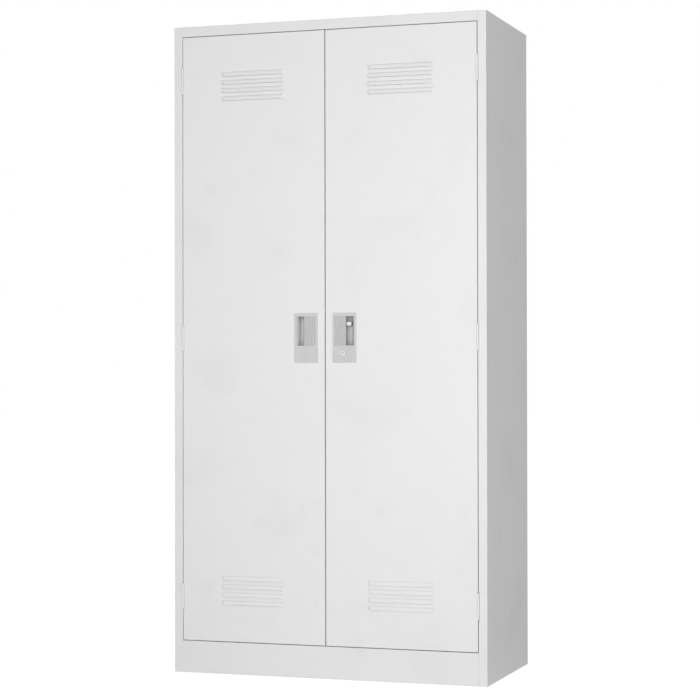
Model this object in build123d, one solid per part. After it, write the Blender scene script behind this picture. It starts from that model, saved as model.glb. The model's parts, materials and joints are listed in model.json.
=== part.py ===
from build123d import *

import os
from math import cos, radians, sin, sqrt

# A two-door steel cabinet for cleaning supplies. Millimetres, +Z up, front towards -Y.
# The origin is at the middle of the base, on the floor. The right half is +X.

# Casing
width = 900.0
depth = 450.0
height = 1800.0
sheet = 0.8
bend = 1.2
stile_face = 24.0
header_face = 27.5
plinth_height = 90.0
stop_width = 10.0
stop_height = 12.0
weld_flange = 15.0
base_flange = 30.0
glide_height = 2.0
glide_radius = 12.0
glide_stem_radius = 4.0
glide_barb_step = 1.0
glide_barb_height = 3.0
glide_inset = 45.0

# Doors
door_gap = 2.0
centre_gap = 3.0
centre_shift = -4.5
door_depth = 20.0
door_return = 15.0
skin_edge = 0.6
stop_gap = 2.0
louvre_length = 186.0
louvre_height = 12.0
louvre_rise = 4.0
louvre_end = 6.0
louvre_pitch = 22.5
louvres_in_group = 4
louvre_group_from_middle = 698.0
stiffener_width = 42.0
stiffener_foot = 14.0
stiffener_from_edge = 45.0
stiffener_end_gap = 7.0

# Hinges
hinge_height = 72.0
hinge_from_middle = 717.0
knuckle_radius = 3.5
knuckle_proud = 0.8
pin_radius = 1.5
leaf_sheet = 0.8
leaf_depth = 18.0
pin_head_radius = 2.6
pin_head_height = 1.2

# Pull handles
handle_width = 68.0
handle_height = 136.0
handle_from_edge = 20.0
handle_above_middle = -1.0
handle_proud = 1.5
handle_wall = 2.0
cover_thickness = 3.0
handle_corner = 3.0
handle_edge = 0.5
handle_rim = 3.0
pocket_width = 23.0
pocket_height = 79.0
pocket_from_side = 6.0
pocket_from_top = 10.0
pocket_depth = 15.0
undercut = 10.0
undercut_wall = 3.5
rollover = 7.0
rollover_bulge = 2.2
skirt_depth = 8.0
grip_margin = 5.0
grip_grooves = 6
groove_radius = 1.8
groove_depth = 1.5
snap_from_corner = 20.0
snap_width = 10.0
snap_reach = 1.0

# Thumb-turn and rod latch
turn_from_pocket_side = 6.5
turn_from_pocket_top = 20.0
turn_length = 15.0
turn_height = 9.5
turn_thickness = 6.0
turn_corner = 2.0
turn_edge = 0.8
spindle_radius = 4.0
boss_radius = 8.0
boss_height = 6.0
rotor_radius = 13.5
rotor_thickness = 3.0
drive_pin_radius = 2.0
throw = 15.0
rod_width = 12.0
rod_thickness = 2.5
rod_behind_door = 4.0
rod_corner = 3.0
rod_top_gap = 2.0
rod_foot_gap = 4.0
slot_play = 0.5
yoke_wall = 1.5
yoke_inner_wall = 1.5
yoke_end = 2.0
bridge_height = 12.0
guide_width = 20.0
guide_height = 16.0
guide_depth = 10.0
guide_corner = 2.0
guide_from_door_end = 60.0
guide_from_plate = 90.0
case_half_width = 15.2
case_half_height = 27.5
case_depth = 9.5
case_foot = 5.5
post_radius = 2.0
post_root = 0.5
case_screw_radius = 0.8
case_screw_head_radius = 1.8
case_screw_head_height = 1.2
case_screw_grip = 4.0

# Key lock
lock_from_plate_side = 30.5
lock_from_plate_bottom = 26.5
lock_head_radius = 6.5
lock_body_radius = 5.5
lock_proud = 1.5
lock_length = 24.0
plug_radius = 4.2
plug_recess = 0.4
plug_tail_half = 2.5
key_slot_width = 1.2
key_slot_height = 6.0
key_slot_depth = 6.0
nut_radius = 8.5
nut_thickness = 3.0
cam_thickness = 2.0
cam_length = 12.0
cam_half_width = 3.0
cam_hub_wall = 1.5
cam_screw_radius = 1.0
cam_screw_grip = 4.0
cam_screw_head_height = 1.5
lug_height = 3.0
lug_width = 4.8
lug_overlap = 2.8
lug_play = 0.5

# Door furniture inside
astragal_width = 20.0
astragal_weld = 16.0
astragal_step_from_edge = 2.0
astragal_joggle = 1.0
strike_width = 13.0
strike_from_edge = 1.5
strike_corner = 2.0
strike_height = 21.0
strike_thickness = 1.2
catch_half_width = 22.0
catch_height = 24.0
catch_depth = 13.5
catch_ear = 1.7
catch_ear_root = 4.0
catch_corner = 1.5
catch_below_lip = 1.0
pole_half_width = 7.7
pole_from_middle = 6.0
pole_half_groove = 0.6
bumper_radius = 4.5
bumper_edge = 0.5
cloth_rail_radius = 5.0
cloth_rail_height = 1200.0
cloth_rail_reach = 30.0
bracket_foot = 11.0
bracket_screw_from_end = 5.5
bracket_width = 6.0
bracket_thickness = 2.0
bracket_screw_radius = 1.5
bracket_screw_head_radius = 2.6
bracket_screw_head_height = 1.2

# Shelves and the broom bay
interior_front = 45.0
shelf_fold = 25.0
top_shelf_height = 1480.0
shelf_heights = (430.0, 780.0, 1130.0)
partition_x = 0.0
partition_fold = 8.0
upright_width = 25.0
upright_depth = 8.0
upright_from_edge = 50.0
upright_end_gap = 40.0
upright_pitch = 50.0
upright_slot_width = 4.0
upright_slot_height = 10.0
clip_width = 12.0
clip_thickness = 1.6
clip_reach = 12.0
clip_tab = 8.0
clip_riser = 9.0
tool_rail_height = 1400.0
tool_rail_face = 30.0
tool_rail_depth = 12.0
tool_rail_foot = 14.0
tool_rail_screw_inset = 12.5
tool_rail_margin = 50.0
hook_count = 4
hook_wire = 3.0
hook_ball_radius = 4.2
hook_reach = 60.0
hook_lip = 15.0
hook_bend = 8.0
hook_plate = 24.0
hook_plate_thickness = 2.0
tray_height = 25.0
tray_wall = 2.0
tray_corner = 12.0
tray_margin = 12.0
screw_radius = 2.0
screw_head_radius = 3.6
screw_head_height = 1.8

# Clearances: plane_gap parts the rotor, the rods and the cam; beyond is how far a cutter overshoots
fit = 0.05
bearing = 0.05
running = 0.3
hinge_clearance = 0.4
bumper_clearance = 0.3
shelf_clearance = 1.5
rod_clearance = 0.3
plane_gap = 0.5
beyond = 1.0

# Places worked out from the sizes
side = width / 2
front = -depth / 2
back = depth / 2
stile_x = side - stile_face
header_z = height - header_face
side_inner = side - sheet
roof = height - sheet
door_outer = stile_x - door_gap
right_inner = centre_gap / 2 + centre_shift
left_inner = centre_gap / 2 - centre_shift
door_bottom = plinth_height + door_gap
door_top = header_z - door_gap
door_middle_z = (door_bottom + door_top) / 2
skin_back = front + sheet
door_back = front + door_depth
stop_y = door_back + stop_gap
stop_back = stop_y + sheet
lip_top = plinth_height + stop_height
lip_bottom = header_z - stop_height
back_panel_front = back - 2 * sheet
interior_y = front + interior_front

hinge_x = stile_x - door_gap / 2
hinge_y = front - knuckle_proud
hinge_heights = [door_middle_z + offset for offset in (-hinge_from_middle, 0.0, hinge_from_middle)]

plate_near = right_inner + handle_from_edge
plate_far = plate_near + handle_width
plate_bottom = door_middle_z + handle_above_middle - handle_height / 2
plate_top = plate_bottom + handle_height
plate_front = front - handle_proud
cover_back = plate_front + cover_thickness
pocket_far = plate_far - pocket_from_side
pocket_near = pocket_far - pocket_width
pocket_top = plate_top - pocket_from_top
pocket_bottom = pocket_top - pocket_height
pocket_floor = front + pocket_depth
cup_back = pocket_floor + handle_wall
undercut_x = pocket_near - undercut

latch_x = pocket_near + turn_from_pocket_side
latch_z = pocket_top - turn_from_pocket_top
rod_front = door_back + rod_behind_door
rod_back = rod_front + rod_thickness
rotor_back = rod_front - plane_gap
rotor_front = rotor_back - rotor_thickness
pin_circle = throw / sqrt(2)
boss_front = pocket_floor - boss_height
case_back = door_back + case_depth

lock_x = plate_near + lock_from_plate_side
lock_z = plate_bottom + lock_from_plate_bottom
lock_back = front + lock_length
cam_front = rod_back + plane_gap
cam_back = cam_front + cam_thickness

catch_top = lip_bottom - catch_below_lip
catch_bottom = catch_top - catch_height
strike_back = door_back + strike_thickness
catch_front = strike_back + running

astragal_z = (lip_top + door_gap, catch_bottom - door_gap)
glide_x = side_inner - base_flange / 2

shelf_left = -side_inner + upright_depth + shelf_clearance
shelf_right = partition_x - sheet / 2 - upright_depth - shelf_clearance
shelf_front = interior_y + shelf_clearance
shelf_back = back_panel_front - shelf_clearance


def block(x, y, z):
    """A box between two limits along each axis."""
    spans = [abs(b - a) for a, b in (x, y, z)]
    middle = [(a + b) / 2 for a, b in (x, y, z)]
    return Pos(*middle) * Box(*spans)


def rod_y(radius, x, z, y):
    """A round bar along Y, between two limits."""
    return Pos(x, (y[0] + y[1]) / 2, z) * Rot(90, 0, 0) * Cylinder(radius, abs(y[1] - y[0]))


def rod_z(radius, x, y, z):
    """A round bar along Z, between two limits."""
    return Pos(x, y, (z[0] + z[1]) / 2) * Cylinder(radius, abs(z[1] - z[0]))


def rod_x(radius, y, z, x):
    """A round bar along X, between two limits."""
    return Pos((x[0] + x[1]) / 2, y, z) * Rot(0, 90, 0) * Cylinder(radius, abs(x[1] - x[0]))


def folded(points, sheet_side, radius=bend, thickness=sheet):
    """The section of a sheet folded along a line of points."""
    return make_face(offset(FilletPolyline(*points, radius=radius), amount=thickness, side=sheet_side))


def along_z(section, z):
    """A section drawn in X and Y, run between two heights."""
    return extrude(Pos(0, 0, z[0]) * section, amount=z[1] - z[0], dir=(0, 0, 1))


def along_x(section, x):
    """A section drawn in Y and Z, run between two places along X."""
    return extrude(Pos(x[0], 0, 0) * (Plane.YZ * section), amount=x[1] - x[0], dir=(1, 0, 0))


def mirrored(shape):
    """The same piece on the left half."""
    return mirror(shape, about=Plane.YZ)


def hinge_notches():
    """What is cut from a door edge or a stile to leave room for the knuckles."""
    half = hinge_height / 2 + pin_head_height + hinge_clearance
    radius = knuckle_radius + hinge_clearance
    return [rod_z(radius, hinge_x, hinge_y, (z - half, z + half)) for z in hinge_heights]


def screw_y(x, z, head_y, length, towards=1):
    """A pan-head screw along Y, its head's seat at head_y and its shank running towards +Y or -Y."""
    shank = rod_y(screw_radius, x, z, (head_y, head_y + towards * length))
    head = rod_y(screw_head_radius, x, z, (head_y - towards * screw_head_height, head_y))
    return head + shank


# Casing

def side_panel():
    """One folded sheet: stop lip, jamb, stile, side and back return, with flanges at top and base."""
    section = folded(
        [
            (stile_x - stop_width, stop_y),
            (stile_x, stop_y),
            (stile_x, front),
            (side, front),
            (side, back),
            (side - weld_flange, back),
        ],
        Side.LEFT,
    )
    panel = along_z(section, (glide_height, roof))
    lip_x = (stile_x - stop_width - beyond, stile_x)
    lip_y = (stop_y - 2 * bend, stop_back + beyond)
    panel -= block(lip_x, lip_y, (glide_height - beyond, lip_top))
    panel -= block(lip_x, lip_y, (lip_bottom, roof + beyond))
    flange_y = (front + sheet + bend, back_panel_front - weld_flange)
    panel += block((side_inner - weld_flange, side_inner), flange_y, (roof - sheet, roof))
    foot_y = (front + base_flange + running, back_panel_front - base_flange)
    panel += block((side_inner - base_flange, side_inner), foot_y, (glide_height, glide_height + sheet))
    for y in glide_places():
        stem_hole = glide_stem_radius + fit
        panel -= rod_z(stem_hole, glide_x, y, (glide_height - beyond, glide_height + sheet + beyond))
    for notch in hinge_notches():
        panel -= notch
    return panel


def glide_places():
    """Where the glides sit along the side's base flange."""
    return (front + glide_inset, back - glide_inset)


def foot_glides():
    """Four plastic pads, each with a barbed stem through the base flange."""
    pads = []
    top = glide_height + sheet
    for x in (-glide_x, glide_x):
        for y in glide_places():
            pad = rod_z(glide_radius, x, y, (0, glide_height))
            pad = chamfer(pad.edges().group_by(Axis.Z)[0], glide_height / 4)
            barb_top = top + running + glide_barb_height
            stem = rod_z(glide_stem_radius, x, y, (glide_height, barb_top))
            wide = glide_stem_radius + glide_barb_step
            narrow = glide_stem_radius - glide_barb_step
            barb = Pos(x, y, barb_top - glide_barb_height / 2) * Cone(wide, narrow, glide_barb_height)
            pads.append(pad + stem + barb)
    return Compound(children=[solid for pad in pads for solid in pad.solids()])


def top_panel():
    """Roof with the header folded down between the stiles and the stop lip behind the doors' top."""
    header = folded(
        [
            (stop_y, lip_bottom),
            (stop_y, header_z),
            (front, header_z),
            (front, height),
            (interior_y, height),
        ],
        Side.RIGHT,
    )
    roof_sheet = block((-side, side), (front, back), (roof, height))
    corner = block((-stile_x, stile_x), (front - beyond, front + bend), (roof - beyond, height + beyond))
    panel = roof_sheet - corner + along_x(header, (-stile_x, stile_x))
    for x, z in catch_screw_places():
        panel -= rod_y(screw_radius + fit, x, z, (stop_y - beyond, stop_back + beyond))
    return panel


def plinth():
    """Front of the base, folded back at the floor and up into the stop lip behind the doors' foot."""
    section = folded(
        [
            (front + base_flange, glide_height),
            (front, glide_height),
            (front, plinth_height),
            (stop_y, plinth_height),
            (stop_y, lip_top),
        ],
        Side.RIGHT,
    )
    return along_x(section, (-stile_x, stile_x))


def back_panel():
    """Back sheet inside the sides' back returns, with flanges forward at the roof and over the floor."""
    web_top = roof
    section = folded(
        [
            (back - sheet, glide_height),
            (back - sheet, web_top),
            (back_panel_front - weld_flange, web_top),
        ],
        Side.LEFT,
    )
    panel = along_x(section, (-side_inner + bend, side_inner - bend))
    for x, z in tool_rail_screw_places():
        panel -= rod_y(screw_radius + fit, x, z, (back_panel_front - beyond, back - sheet + beyond))
    return panel


def floor_pan():
    """Floor of the cabinet with flanges turned down all round."""
    x = (-side_inner, side_inner)
    y = (stop_back, back_panel_front)
    under = plinth_height - weld_flange
    pan = block(x, y, (under, plinth_height))
    inside = block(
        (x[0] + sheet, x[1] - sheet), (y[0] + sheet, y[1] - sheet), (under - beyond, plinth_height - sheet)
    )
    return pan - inside


def rear_base_rail():
    """Folded rail under the back edge of the floor."""
    top = plinth_height - weld_flange
    section = folded(
        [
            (back_panel_front - base_flange + sheet, top),
            (back_panel_front, top),
            (back_panel_front, glide_height),
            (back_panel_front - base_flange + sheet, glide_height),
        ],
        Side.RIGHT,
    )
    return along_x(section, (-side_inner, side_inner))


# Inside of the casing

def centre_partition():
    """Upright sheet between the shelf bay and the broom bay, with flanges at its front and base."""
    x = (partition_x - sheet / 2, partition_x + sheet / 2)
    z = (plinth_height, top_shelf_height)
    web = block(x, (interior_y, back_panel_front), z)
    fold_x = (x[0] - partition_fold, x[1] + partition_fold)
    front_flange = block(fold_x, (interior_y, interior_y + sheet), z)
    base = block((x[1], x[1] + weld_flange), (interior_y + sheet, back_panel_front), (z[0], z[0] + sheet))
    top_y = (interior_y + shelf_fold, back_panel_front)
    top = block((x[1], x[1] + weld_flange), top_y, (z[1] - sheet, z[1]))
    room_y = (interior_y - beyond, interior_y + weld_flange + running)
    room_x = (x[0] - 2 * partition_fold, x[1] + 2 * partition_fold)
    shelf_room = block(room_x, room_y, (z[1] - shelf_fold - running, z[1] + beyond))
    return web + front_flange + base + top - shelf_room


def shelf_pan(x, y, top):
    """A shelf: a sheet with all four edges folded down and the front fold hemmed back."""
    pan = block(x, y, (top - shelf_fold, top))
    inside = block(
        (x[0] + sheet, x[1] - sheet), (y[0] + sheet, y[1] - sheet), (top - shelf_fold - beyond, top - sheet)
    )
    hem_z = (top - shelf_fold, top - shelf_fold + sheet)
    hem = block((x[0] + sheet, x[1] - sheet), (y[0], y[0] + weld_flange), hem_z)
    pan = fillet(pan.edges().filter_by(Axis.X).group_by(Axis.Z)[-1].group_by(Axis.Y)[0], sheet)
    return pan - inside + hem


def top_shelf():
    """Full-width shelf over both bays, welded between the sides."""
    shelf = shelf_pan((-side_inner, side_inner), (interior_y, back_panel_front), top_shelf_height + sheet)
    notch_x = (partition_x - sheet / 2 - running, partition_x + sheet / 2 + running)
    notch_z = (top_shelf_height - shelf_fold, top_shelf_height)
    notch = block(notch_x, (back_panel_front - 2 * sheet, back_panel_front + beyond), notch_z)
    flange = block(
        (partition_x, partition_x + weld_flange + sheet),
        (back_panel_front - 2 * sheet, back_panel_front + beyond),
        (top_shelf_height - sheet - running, top_shelf_height),
    )
    return shelf - notch - flange


def adjustable_shelf(top):
    """A shelf of the left bay, resting on four clips."""
    return shelf_pan((shelf_left, shelf_right), (shelf_front, shelf_back), top)


def upright_places():
    """The middle of each slotted upright: its wall's X, the way it faces, and its Y."""
    rear = back_panel_front - upright_from_edge
    fore = interior_y + upright_from_edge
    walls = ((-side_inner, 1), (partition_x - sheet / 2, -1))
    return [(wall, way, y) for wall, way in walls for y in (fore, rear)]


def upright_span():
    """The lowest and highest point of the slotted uprights."""
    return (plinth_height + upright_end_gap, top_shelf_height - upright_end_gap)


def slot_heights():
    """The middles of an upright's slots, one pitch apart, so that every shelf height has one."""
    low, high = upright_span()
    first = shelf_heights[0] - shelf_fold - upright_pitch * int(
        (shelf_heights[0] - shelf_fold - low - upright_pitch / 2) / upright_pitch
    )
    count = int((high - upright_pitch / 2 - first) / upright_pitch) + 1
    return [first + upright_pitch * i for i in range(count)]


def shelf_uprights():
    """Four channels with a column of slots each, two on the side and two on the partition."""
    low, high = upright_span()
    pieces = []
    for wall, way, y in upright_places():
        face = wall + way * upright_depth
        channel = block((wall, face), (y - upright_width / 2, y + upright_width / 2), (low, high))
        room = (y - upright_width / 2 + bend, y + upright_width / 2 - bend)
        channel -= block((wall, face - way * bend), room, (low - beyond, high + beyond))
        slots = [
            block(
                (face - way * 2 * bend, face + way),
                (y - upright_slot_width / 2, y + upright_slot_width / 2),
                (z - upright_slot_height / 2, z + upright_slot_height / 2),
            )
            for z in slot_heights()
        ]
        channel -= slots
        pieces += channel.solids()
    return Compound(children=pieces)


def shelf_clips():
    """Twelve clips, each a ledge under a shelf's corner with a tab through the upright's slot."""
    clips = []
    for top in shelf_heights:
        seat = top - shelf_fold
        slot = min(slot_heights(), key=lambda z: abs(z - seat))
        for wall, way, y in upright_places():
            face = wall + way * upright_depth
            y_span = (y - clip_width / 2, y + clip_width / 2)
            ledge = block((face, face + way * clip_reach), y_span, (seat - clip_thickness, seat))
            riser = block((face, face + way * clip_thickness), y_span, (seat - clip_riser, seat))
            tab_half = upright_slot_width / 2 - running
            tab_z = (slot - upright_slot_height / 2 + running, slot - running - clip_thickness / 2)
            tab_x = (face - way * (clip_tab - bend), face)
            tab = block(tab_x, (y - tab_half, y + tab_half), tab_z)
            clips += (ledge + riser + tab).solids()
    return Compound(children=clips)


def bay_span():
    """The broom bay's left and right wall."""
    return (partition_x + sheet / 2, side_inner)


def tool_rail_span():
    """Where the tool rail starts and ends along X."""
    low, high = bay_span()
    return (low + tool_rail_margin, high - tool_rail_margin)


def tool_rail_screw_places():
    """The four screws of the tool rail."""
    low, high = tool_rail_span()
    xs = (low + tool_rail_screw_inset, high - tool_rail_screw_inset)
    foot = (tool_rail_face + tool_rail_foot) / 2
    return [(x, tool_rail_height + dz) for x in xs for dz in (-foot, foot)]


def tool_rail():
    """Hat rail on the back panel that carries the hooks."""
    low = tool_rail_height - tool_rail_face / 2
    high = tool_rail_height + tool_rail_face / 2
    face = back_panel_front - tool_rail_depth
    foot = back_panel_front - sheet
    section = folded(
        [
            (foot, low - tool_rail_foot),
            (foot, low),
            (face, low),
            (face, high),
            (foot, high),
            (foot, high + tool_rail_foot),
        ],
        Side.RIGHT,
    )
    rail = along_x(section, tool_rail_span())
    for x, z in tool_rail_screw_places():
        rail -= rod_y(screw_radius + fit, x, z, (foot - beyond, back_panel_front + beyond))
    return rail


def tool_rail_screws():
    """Screws of the tool rail into the back panel."""
    head_y = back_panel_front - sheet
    length = 2 * sheet
    return Compound(
        children=[s for x, z in tool_rail_screw_places() for s in screw_y(x, z, head_y, length).solids()]
    )


def hook_places():
    """The hooks' X places, evenly spread over the tool rail."""
    low, high = tool_rail_span()
    step = (high - low) / hook_count
    return [low + step * (i + 0.5) for i in range(hook_count)]


def tool_hooks():
    """Hooks on the tool rail: a plate with a wire that runs forward and turns up."""
    hooks = []
    face = back_panel_front - tool_rail_depth
    plate_y = (face - hook_plate_thickness, face)
    half = hook_plate / 2
    for x in hook_places():
        plate_z = (tool_rail_height - half, tool_rail_height + half)
        plate = block((x - half / 2, x + half / 2), plate_y, plate_z)
        tip = face - hook_reach
        path = FilletPolyline(
            (x, face - hook_plate_thickness / 2, tool_rail_height),
            (x, tip, tool_rail_height),
            (x, tip, tool_rail_height + hook_bend + hook_lip),
            radius=hook_bend,
        )
        wire = sweep(Plane(path @ 0, z_dir=path % 0) * Circle(hook_wire), path=path)
        ball = Pos(*(path @ 1)) * Sphere(hook_ball_radius)
        hooks += (plate + wire + ball).solids()
    return Compound(children=hooks)


def tray_box():
    """The drip tray's outer limits along each axis."""
    low, high = bay_span()
    x = (low + weld_flange + tray_margin, high - tray_margin)
    y = (interior_y + tray_margin, back_panel_front - tray_margin)
    return x, y, (plinth_height, plinth_height + tray_height)


def drip_tray():
    """Open plastic tray on the floor of the broom bay."""
    x, y, z = tray_box()
    tray = block(x, y, z)
    tray = fillet(tray.edges().filter_by(Axis.Z), tray_corner)
    inside = block(
        (x[0] + tray_wall, x[1] - tray_wall),
        (y[0] + tray_wall, y[1] - tray_wall),
        (z[0] + tray_wall, z[1] + beyond),
    )
    inside = fillet(inside.edges().filter_by(Axis.Z), tray_corner - tray_wall)
    return tray - inside


def catch_screw_places():
    """The two screws of the magnetic catch in the header's lip."""
    z = (catch_top + header_z) / 2
    return [(centre_shift + x, z) for x in (-catch_half_width / 2, catch_half_width / 2)]


def magnetic_catch():
    """Twin magnetic catch under the header's lip, with an ear behind the lip."""
    x_span = (centre_shift - catch_half_width, centre_shift + catch_half_width)
    body = block(x_span, (catch_front, catch_front + catch_depth), (catch_bottom, catch_top))
    body = fillet(body.edges().filter_by(Axis.Y), catch_corner)
    middle = (catch_bottom + catch_top) / 2
    room = (catch_front - beyond, catch_front + pole_half_groove)
    for x in (centre_shift - catch_half_width / 2, centre_shift + catch_half_width / 2):
        for z in (middle - pole_from_middle, middle + pole_from_middle):
            groove_z = (z - pole_half_groove, z + pole_half_groove)
            body -= block((x - pole_half_width, x + pole_half_width), room, groove_z)
    ear_y = (stop_back, stop_back + catch_ear)
    ear_z = (catch_top - catch_ear_root, header_z - sheet)
    ear = block(x_span, ear_y, ear_z)
    catch = body + ear
    for x, z in catch_screw_places():
        catch -= rod_y(screw_radius + fit, x, z, (stop_back - beyond, stop_back + catch_ear + beyond))
    return catch


def catch_screws():
    """Screws of the magnetic catch, put in from behind the lip."""
    head_y = stop_back + catch_ear
    length = catch_ear + sheet
    return Compound(
        children=[s for x, z in catch_screw_places() for s in screw_y(x, z, head_y, length, -1).solids()]
    )


def door_bumpers():
    """Rubber bumpers on the stop lips, just short of the doors' backs."""
    bumpers = []
    y = (door_back + bumper_clearance, stop_y)
    inset = door_return * 2
    for x in (-door_outer + inset, -left_inner - inset, right_inner + inset, door_outer - inset):
        for z in ((lip_bottom + door_top) / 2, (lip_top + door_bottom) / 2):
            pad = rod_y(bumper_radius, x, z, y)
            pad = fillet(pad.edges().group_by(Axis.Y)[0], bumper_edge)
            bumpers += pad.solids()
    return Compound(children=bumpers)


# Hinges

def hinge_leaf(z, own, other, way):
    """A leaf in the gap beside a door: a knuckle over its own half and a plate over the whole height.

    own and other are the two halves' heights, and way is +1 for the stile's leaf, -1 for the door's.
    """
    knuckle = rod_z(knuckle_radius, hinge_x, hinge_y, own)
    plate_x = (hinge_x + way * (door_gap / 2 - leaf_sheet), hinge_x + way * door_gap / 2)
    plate_back = front + leaf_depth
    near = block(plate_x, (hinge_y, plate_back), own)
    clear_y = hinge_y + knuckle_radius + hinge_clearance
    beside = block(plate_x, (clear_y, plate_back), other)
    leaf = knuckle + near + beside
    bore = rod_z(pin_radius + bearing, hinge_x, hinge_y, (z - hinge_height, z + hinge_height))
    return leaf - bore


def hinge_halves(z):
    """The heights of a hinge's lower and upper half, a running gap apart."""
    half = hinge_height / 2
    return (z - half, z - running / 2), (z + running / 2, z + half)


def frame_hinge_leaves():
    """The three leaves on a stile."""
    leaves = []
    for z in hinge_heights:
        lower, upper = hinge_halves(z)
        middle = (lower[1], upper[1])
        leaves += hinge_leaf(z, lower, middle, 1).solids()
    return Compound(children=leaves)


def door_hinge_leaves():
    """The three leaves on a door's edge."""
    leaves = []
    for z in hinge_heights:
        lower, upper = hinge_halves(z)
        middle = (lower[0], upper[0])
        leaves += hinge_leaf(z, upper, middle, -1).solids()
    return Compound(children=leaves)


def hinge_pins():
    """Three pins of one door, each with a head under the stile's knuckle and a domed tip."""
    pins = []
    for z in hinge_heights:
        low = z - hinge_height / 2
        high = z + hinge_height / 2
        head = rod_z(pin_head_radius, hinge_x, hinge_y, (low - pin_head_height, low))
        head = fillet(head.edges().group_by(Axis.Z)[0], pin_head_height / 2)
        shaft = rod_z(pin_radius, hinge_x, hinge_y, (low, high + pin_head_height / 2))
        shaft = fillet(shaft.edges().group_by(Axis.Z)[-1], pin_radius / 2)
        pins += (head + shaft).solids()
    return Compound(children=pins)


# Doors

def louvre_section(rise, tall):
    """Half section of a louvre's bulge: a quarter ellipse, its corner at the lower edge."""
    arc = EllipticalCenterArc((0, 0), tall, rise, 0, arc_size=90)
    return make_face(Curve() + [arc, Line((0, rise), (0, 0)), Line((0, 0), (tall, 0))])


def louvre_half(inset):
    """Half of a louvre's length, or of the room in it, which is an inset smaller all round."""
    return louvre_length / 2 - inset * sqrt(louvre_end**2 + louvre_rise**2) / louvre_rise


def louvre_bulge(middle, z, inset):
    """A louvre's bulge in front of the door, with slanted ends and a flat lower edge at height z."""
    half = louvre_half(inset)
    rise = louvre_rise - inset
    tall = louvre_height - inset
    end = louvre_end * rise / louvre_rise
    plane = Plane(origin=(middle - half, front, z), x_dir=(0, 0, 1), z_dir=(1, 0, 0))
    bulge = extrude(plane * louvre_section(rise, tall), amount=2 * half, dir=(1, 0, 0))
    outline = Polyline(
        (middle - half, front),
        (middle - half + end, front - rise),
        (middle + half - end, front - rise),
        (middle + half, front),
        (middle - half, front),
    )
    return bulge & along_z(make_face(outline), (z, z + tall))


def louvre_heights():
    """The lower edge of each louvre, in a group near the door's top and one near its foot."""
    first = -(louvres_in_group - 1) / 2
    return [
        door_middle_z + group + (first + i) * louvre_pitch - louvre_height / 2
        for group in (-louvre_group_from_middle, louvre_group_from_middle)
        for i in range(louvres_in_group)
    ]


def louvre_window(middle, z):
    """The opening in the door's skin behind a louvre."""
    half = louvre_half(sheet)
    return block((middle - half, middle + half), (front, skin_back + beyond), (z, z + louvre_height - sheet))


def door_skin(inner):
    """A door's flat skin with its louvres and the opening for the handle.

    inner is how far the door's free edge lies from the cabinet's middle, towards the hinges.
    """
    skin = block((inner, door_outer), (front, skin_back), (door_bottom, door_top))
    skin = fillet(skin.edges().group_by(Axis.Y)[0], skin_edge)
    hole_x, hole_z = handle_hole(inner + handle_from_edge, 0.0)
    skin -= block(hole_x, (front - beyond, skin_back + beyond), hole_z)
    middle = (inner + door_outer) / 2
    for z in louvre_heights():
        hood = louvre_bulge(middle, z, 0.0) - louvre_bulge(middle, z, sheet)
        skin = skin - louvre_window(middle, z) + hood
    for notch in hinge_notches():
        skin -= notch
    return skin


def door_edges(inner):
    """The folded edges behind a door's skin, with their returns."""
    x = (inner, door_outer)
    z = (door_bottom, door_top)
    frame = block(x, (skin_back, door_back), z)
    frame = fillet(frame.edges().group_by(Axis.Y)[-1], skin_edge)
    frame -= block(
        (x[0] + sheet, x[1] - sheet), (skin_back - beyond, door_back - sheet), (z[0] + sheet, z[1] - sheet)
    )
    frame -= block(
        (x[0] + door_return, x[1] - door_return),
        (door_back - 2 * sheet, door_back + beyond),
        (z[0] + door_return, z[1] - door_return),
    )
    for notch in hinge_notches():
        frame -= notch
    return frame


def door_panel(inner):
    """A door's sheet: the skin and its folded edges."""
    return door_skin(inner) + door_edges(inner)


def handle_hole(near, clearance):
    """The X and Z limits of the opening that takes the handle, less a clearance all round.

    near is the X of the handle plate's side that is next to the door's free edge.
    """
    inset = handle_rim + clearance
    return (near + inset, near + handle_width - inset), (plate_bottom + inset, plate_top - inset)


def stiffener_span(inner):
    """The X limits of a stiffener's crown."""
    near = inner + stiffener_from_edge
    return (near, near + stiffener_width)


def door_stiffeners(inner):
    """Two hat channels behind a door's skin, one above its handle and one below."""
    low_x, high_x = stiffener_span(inner)
    foot_y = skin_back + sheet
    section = folded(
        [
            (low_x - stiffener_foot, foot_y),
            (low_x, foot_y),
            (low_x, door_back),
            (high_x, door_back),
            (high_x, foot_y),
            (high_x + stiffener_foot, foot_y),
        ],
        Side.RIGHT,
    )
    ends = door_return + stiffener_end_gap
    lower = along_z(section, (door_bottom + ends, plate_bottom - stiffener_end_gap - handle_rim))
    upper = along_z(section, (plate_top + stiffener_end_gap + handle_rim, door_top - ends))
    return Compound(children=[*lower.solids(), *upper.solids()])


def pocket_void():
    """The finger pocket: a mouth beside the grip, an undercut behind it and a rolled far wall."""
    mouth_y = plate_front - 1
    foot_x = pocket_far - rollover
    run = sqrt(rollover**2 + (pocket_floor - plate_front) ** 2)
    across = ((pocket_floor - plate_front) / run, rollover / run)
    bulge_point = (
        (pocket_far + foot_x) / 2 - rollover_bulge * across[0],
        (plate_front + pocket_floor) / 2 - rollover_bulge * across[1],
    )
    outline = Curve() + [
        ThreePointArc((pocket_far, plate_front), bulge_point, (foot_x, pocket_floor)),
        Polyline(
            (foot_x, pocket_floor),
            (undercut_x, pocket_floor),
            (undercut_x, cover_back),
            (pocket_near, cover_back),
            (pocket_near, mouth_y),
            (pocket_far, mouth_y),
            (pocket_far, plate_front),
        ),
    ]
    return along_z(make_face(outline), (pocket_bottom, pocket_top))


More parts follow.
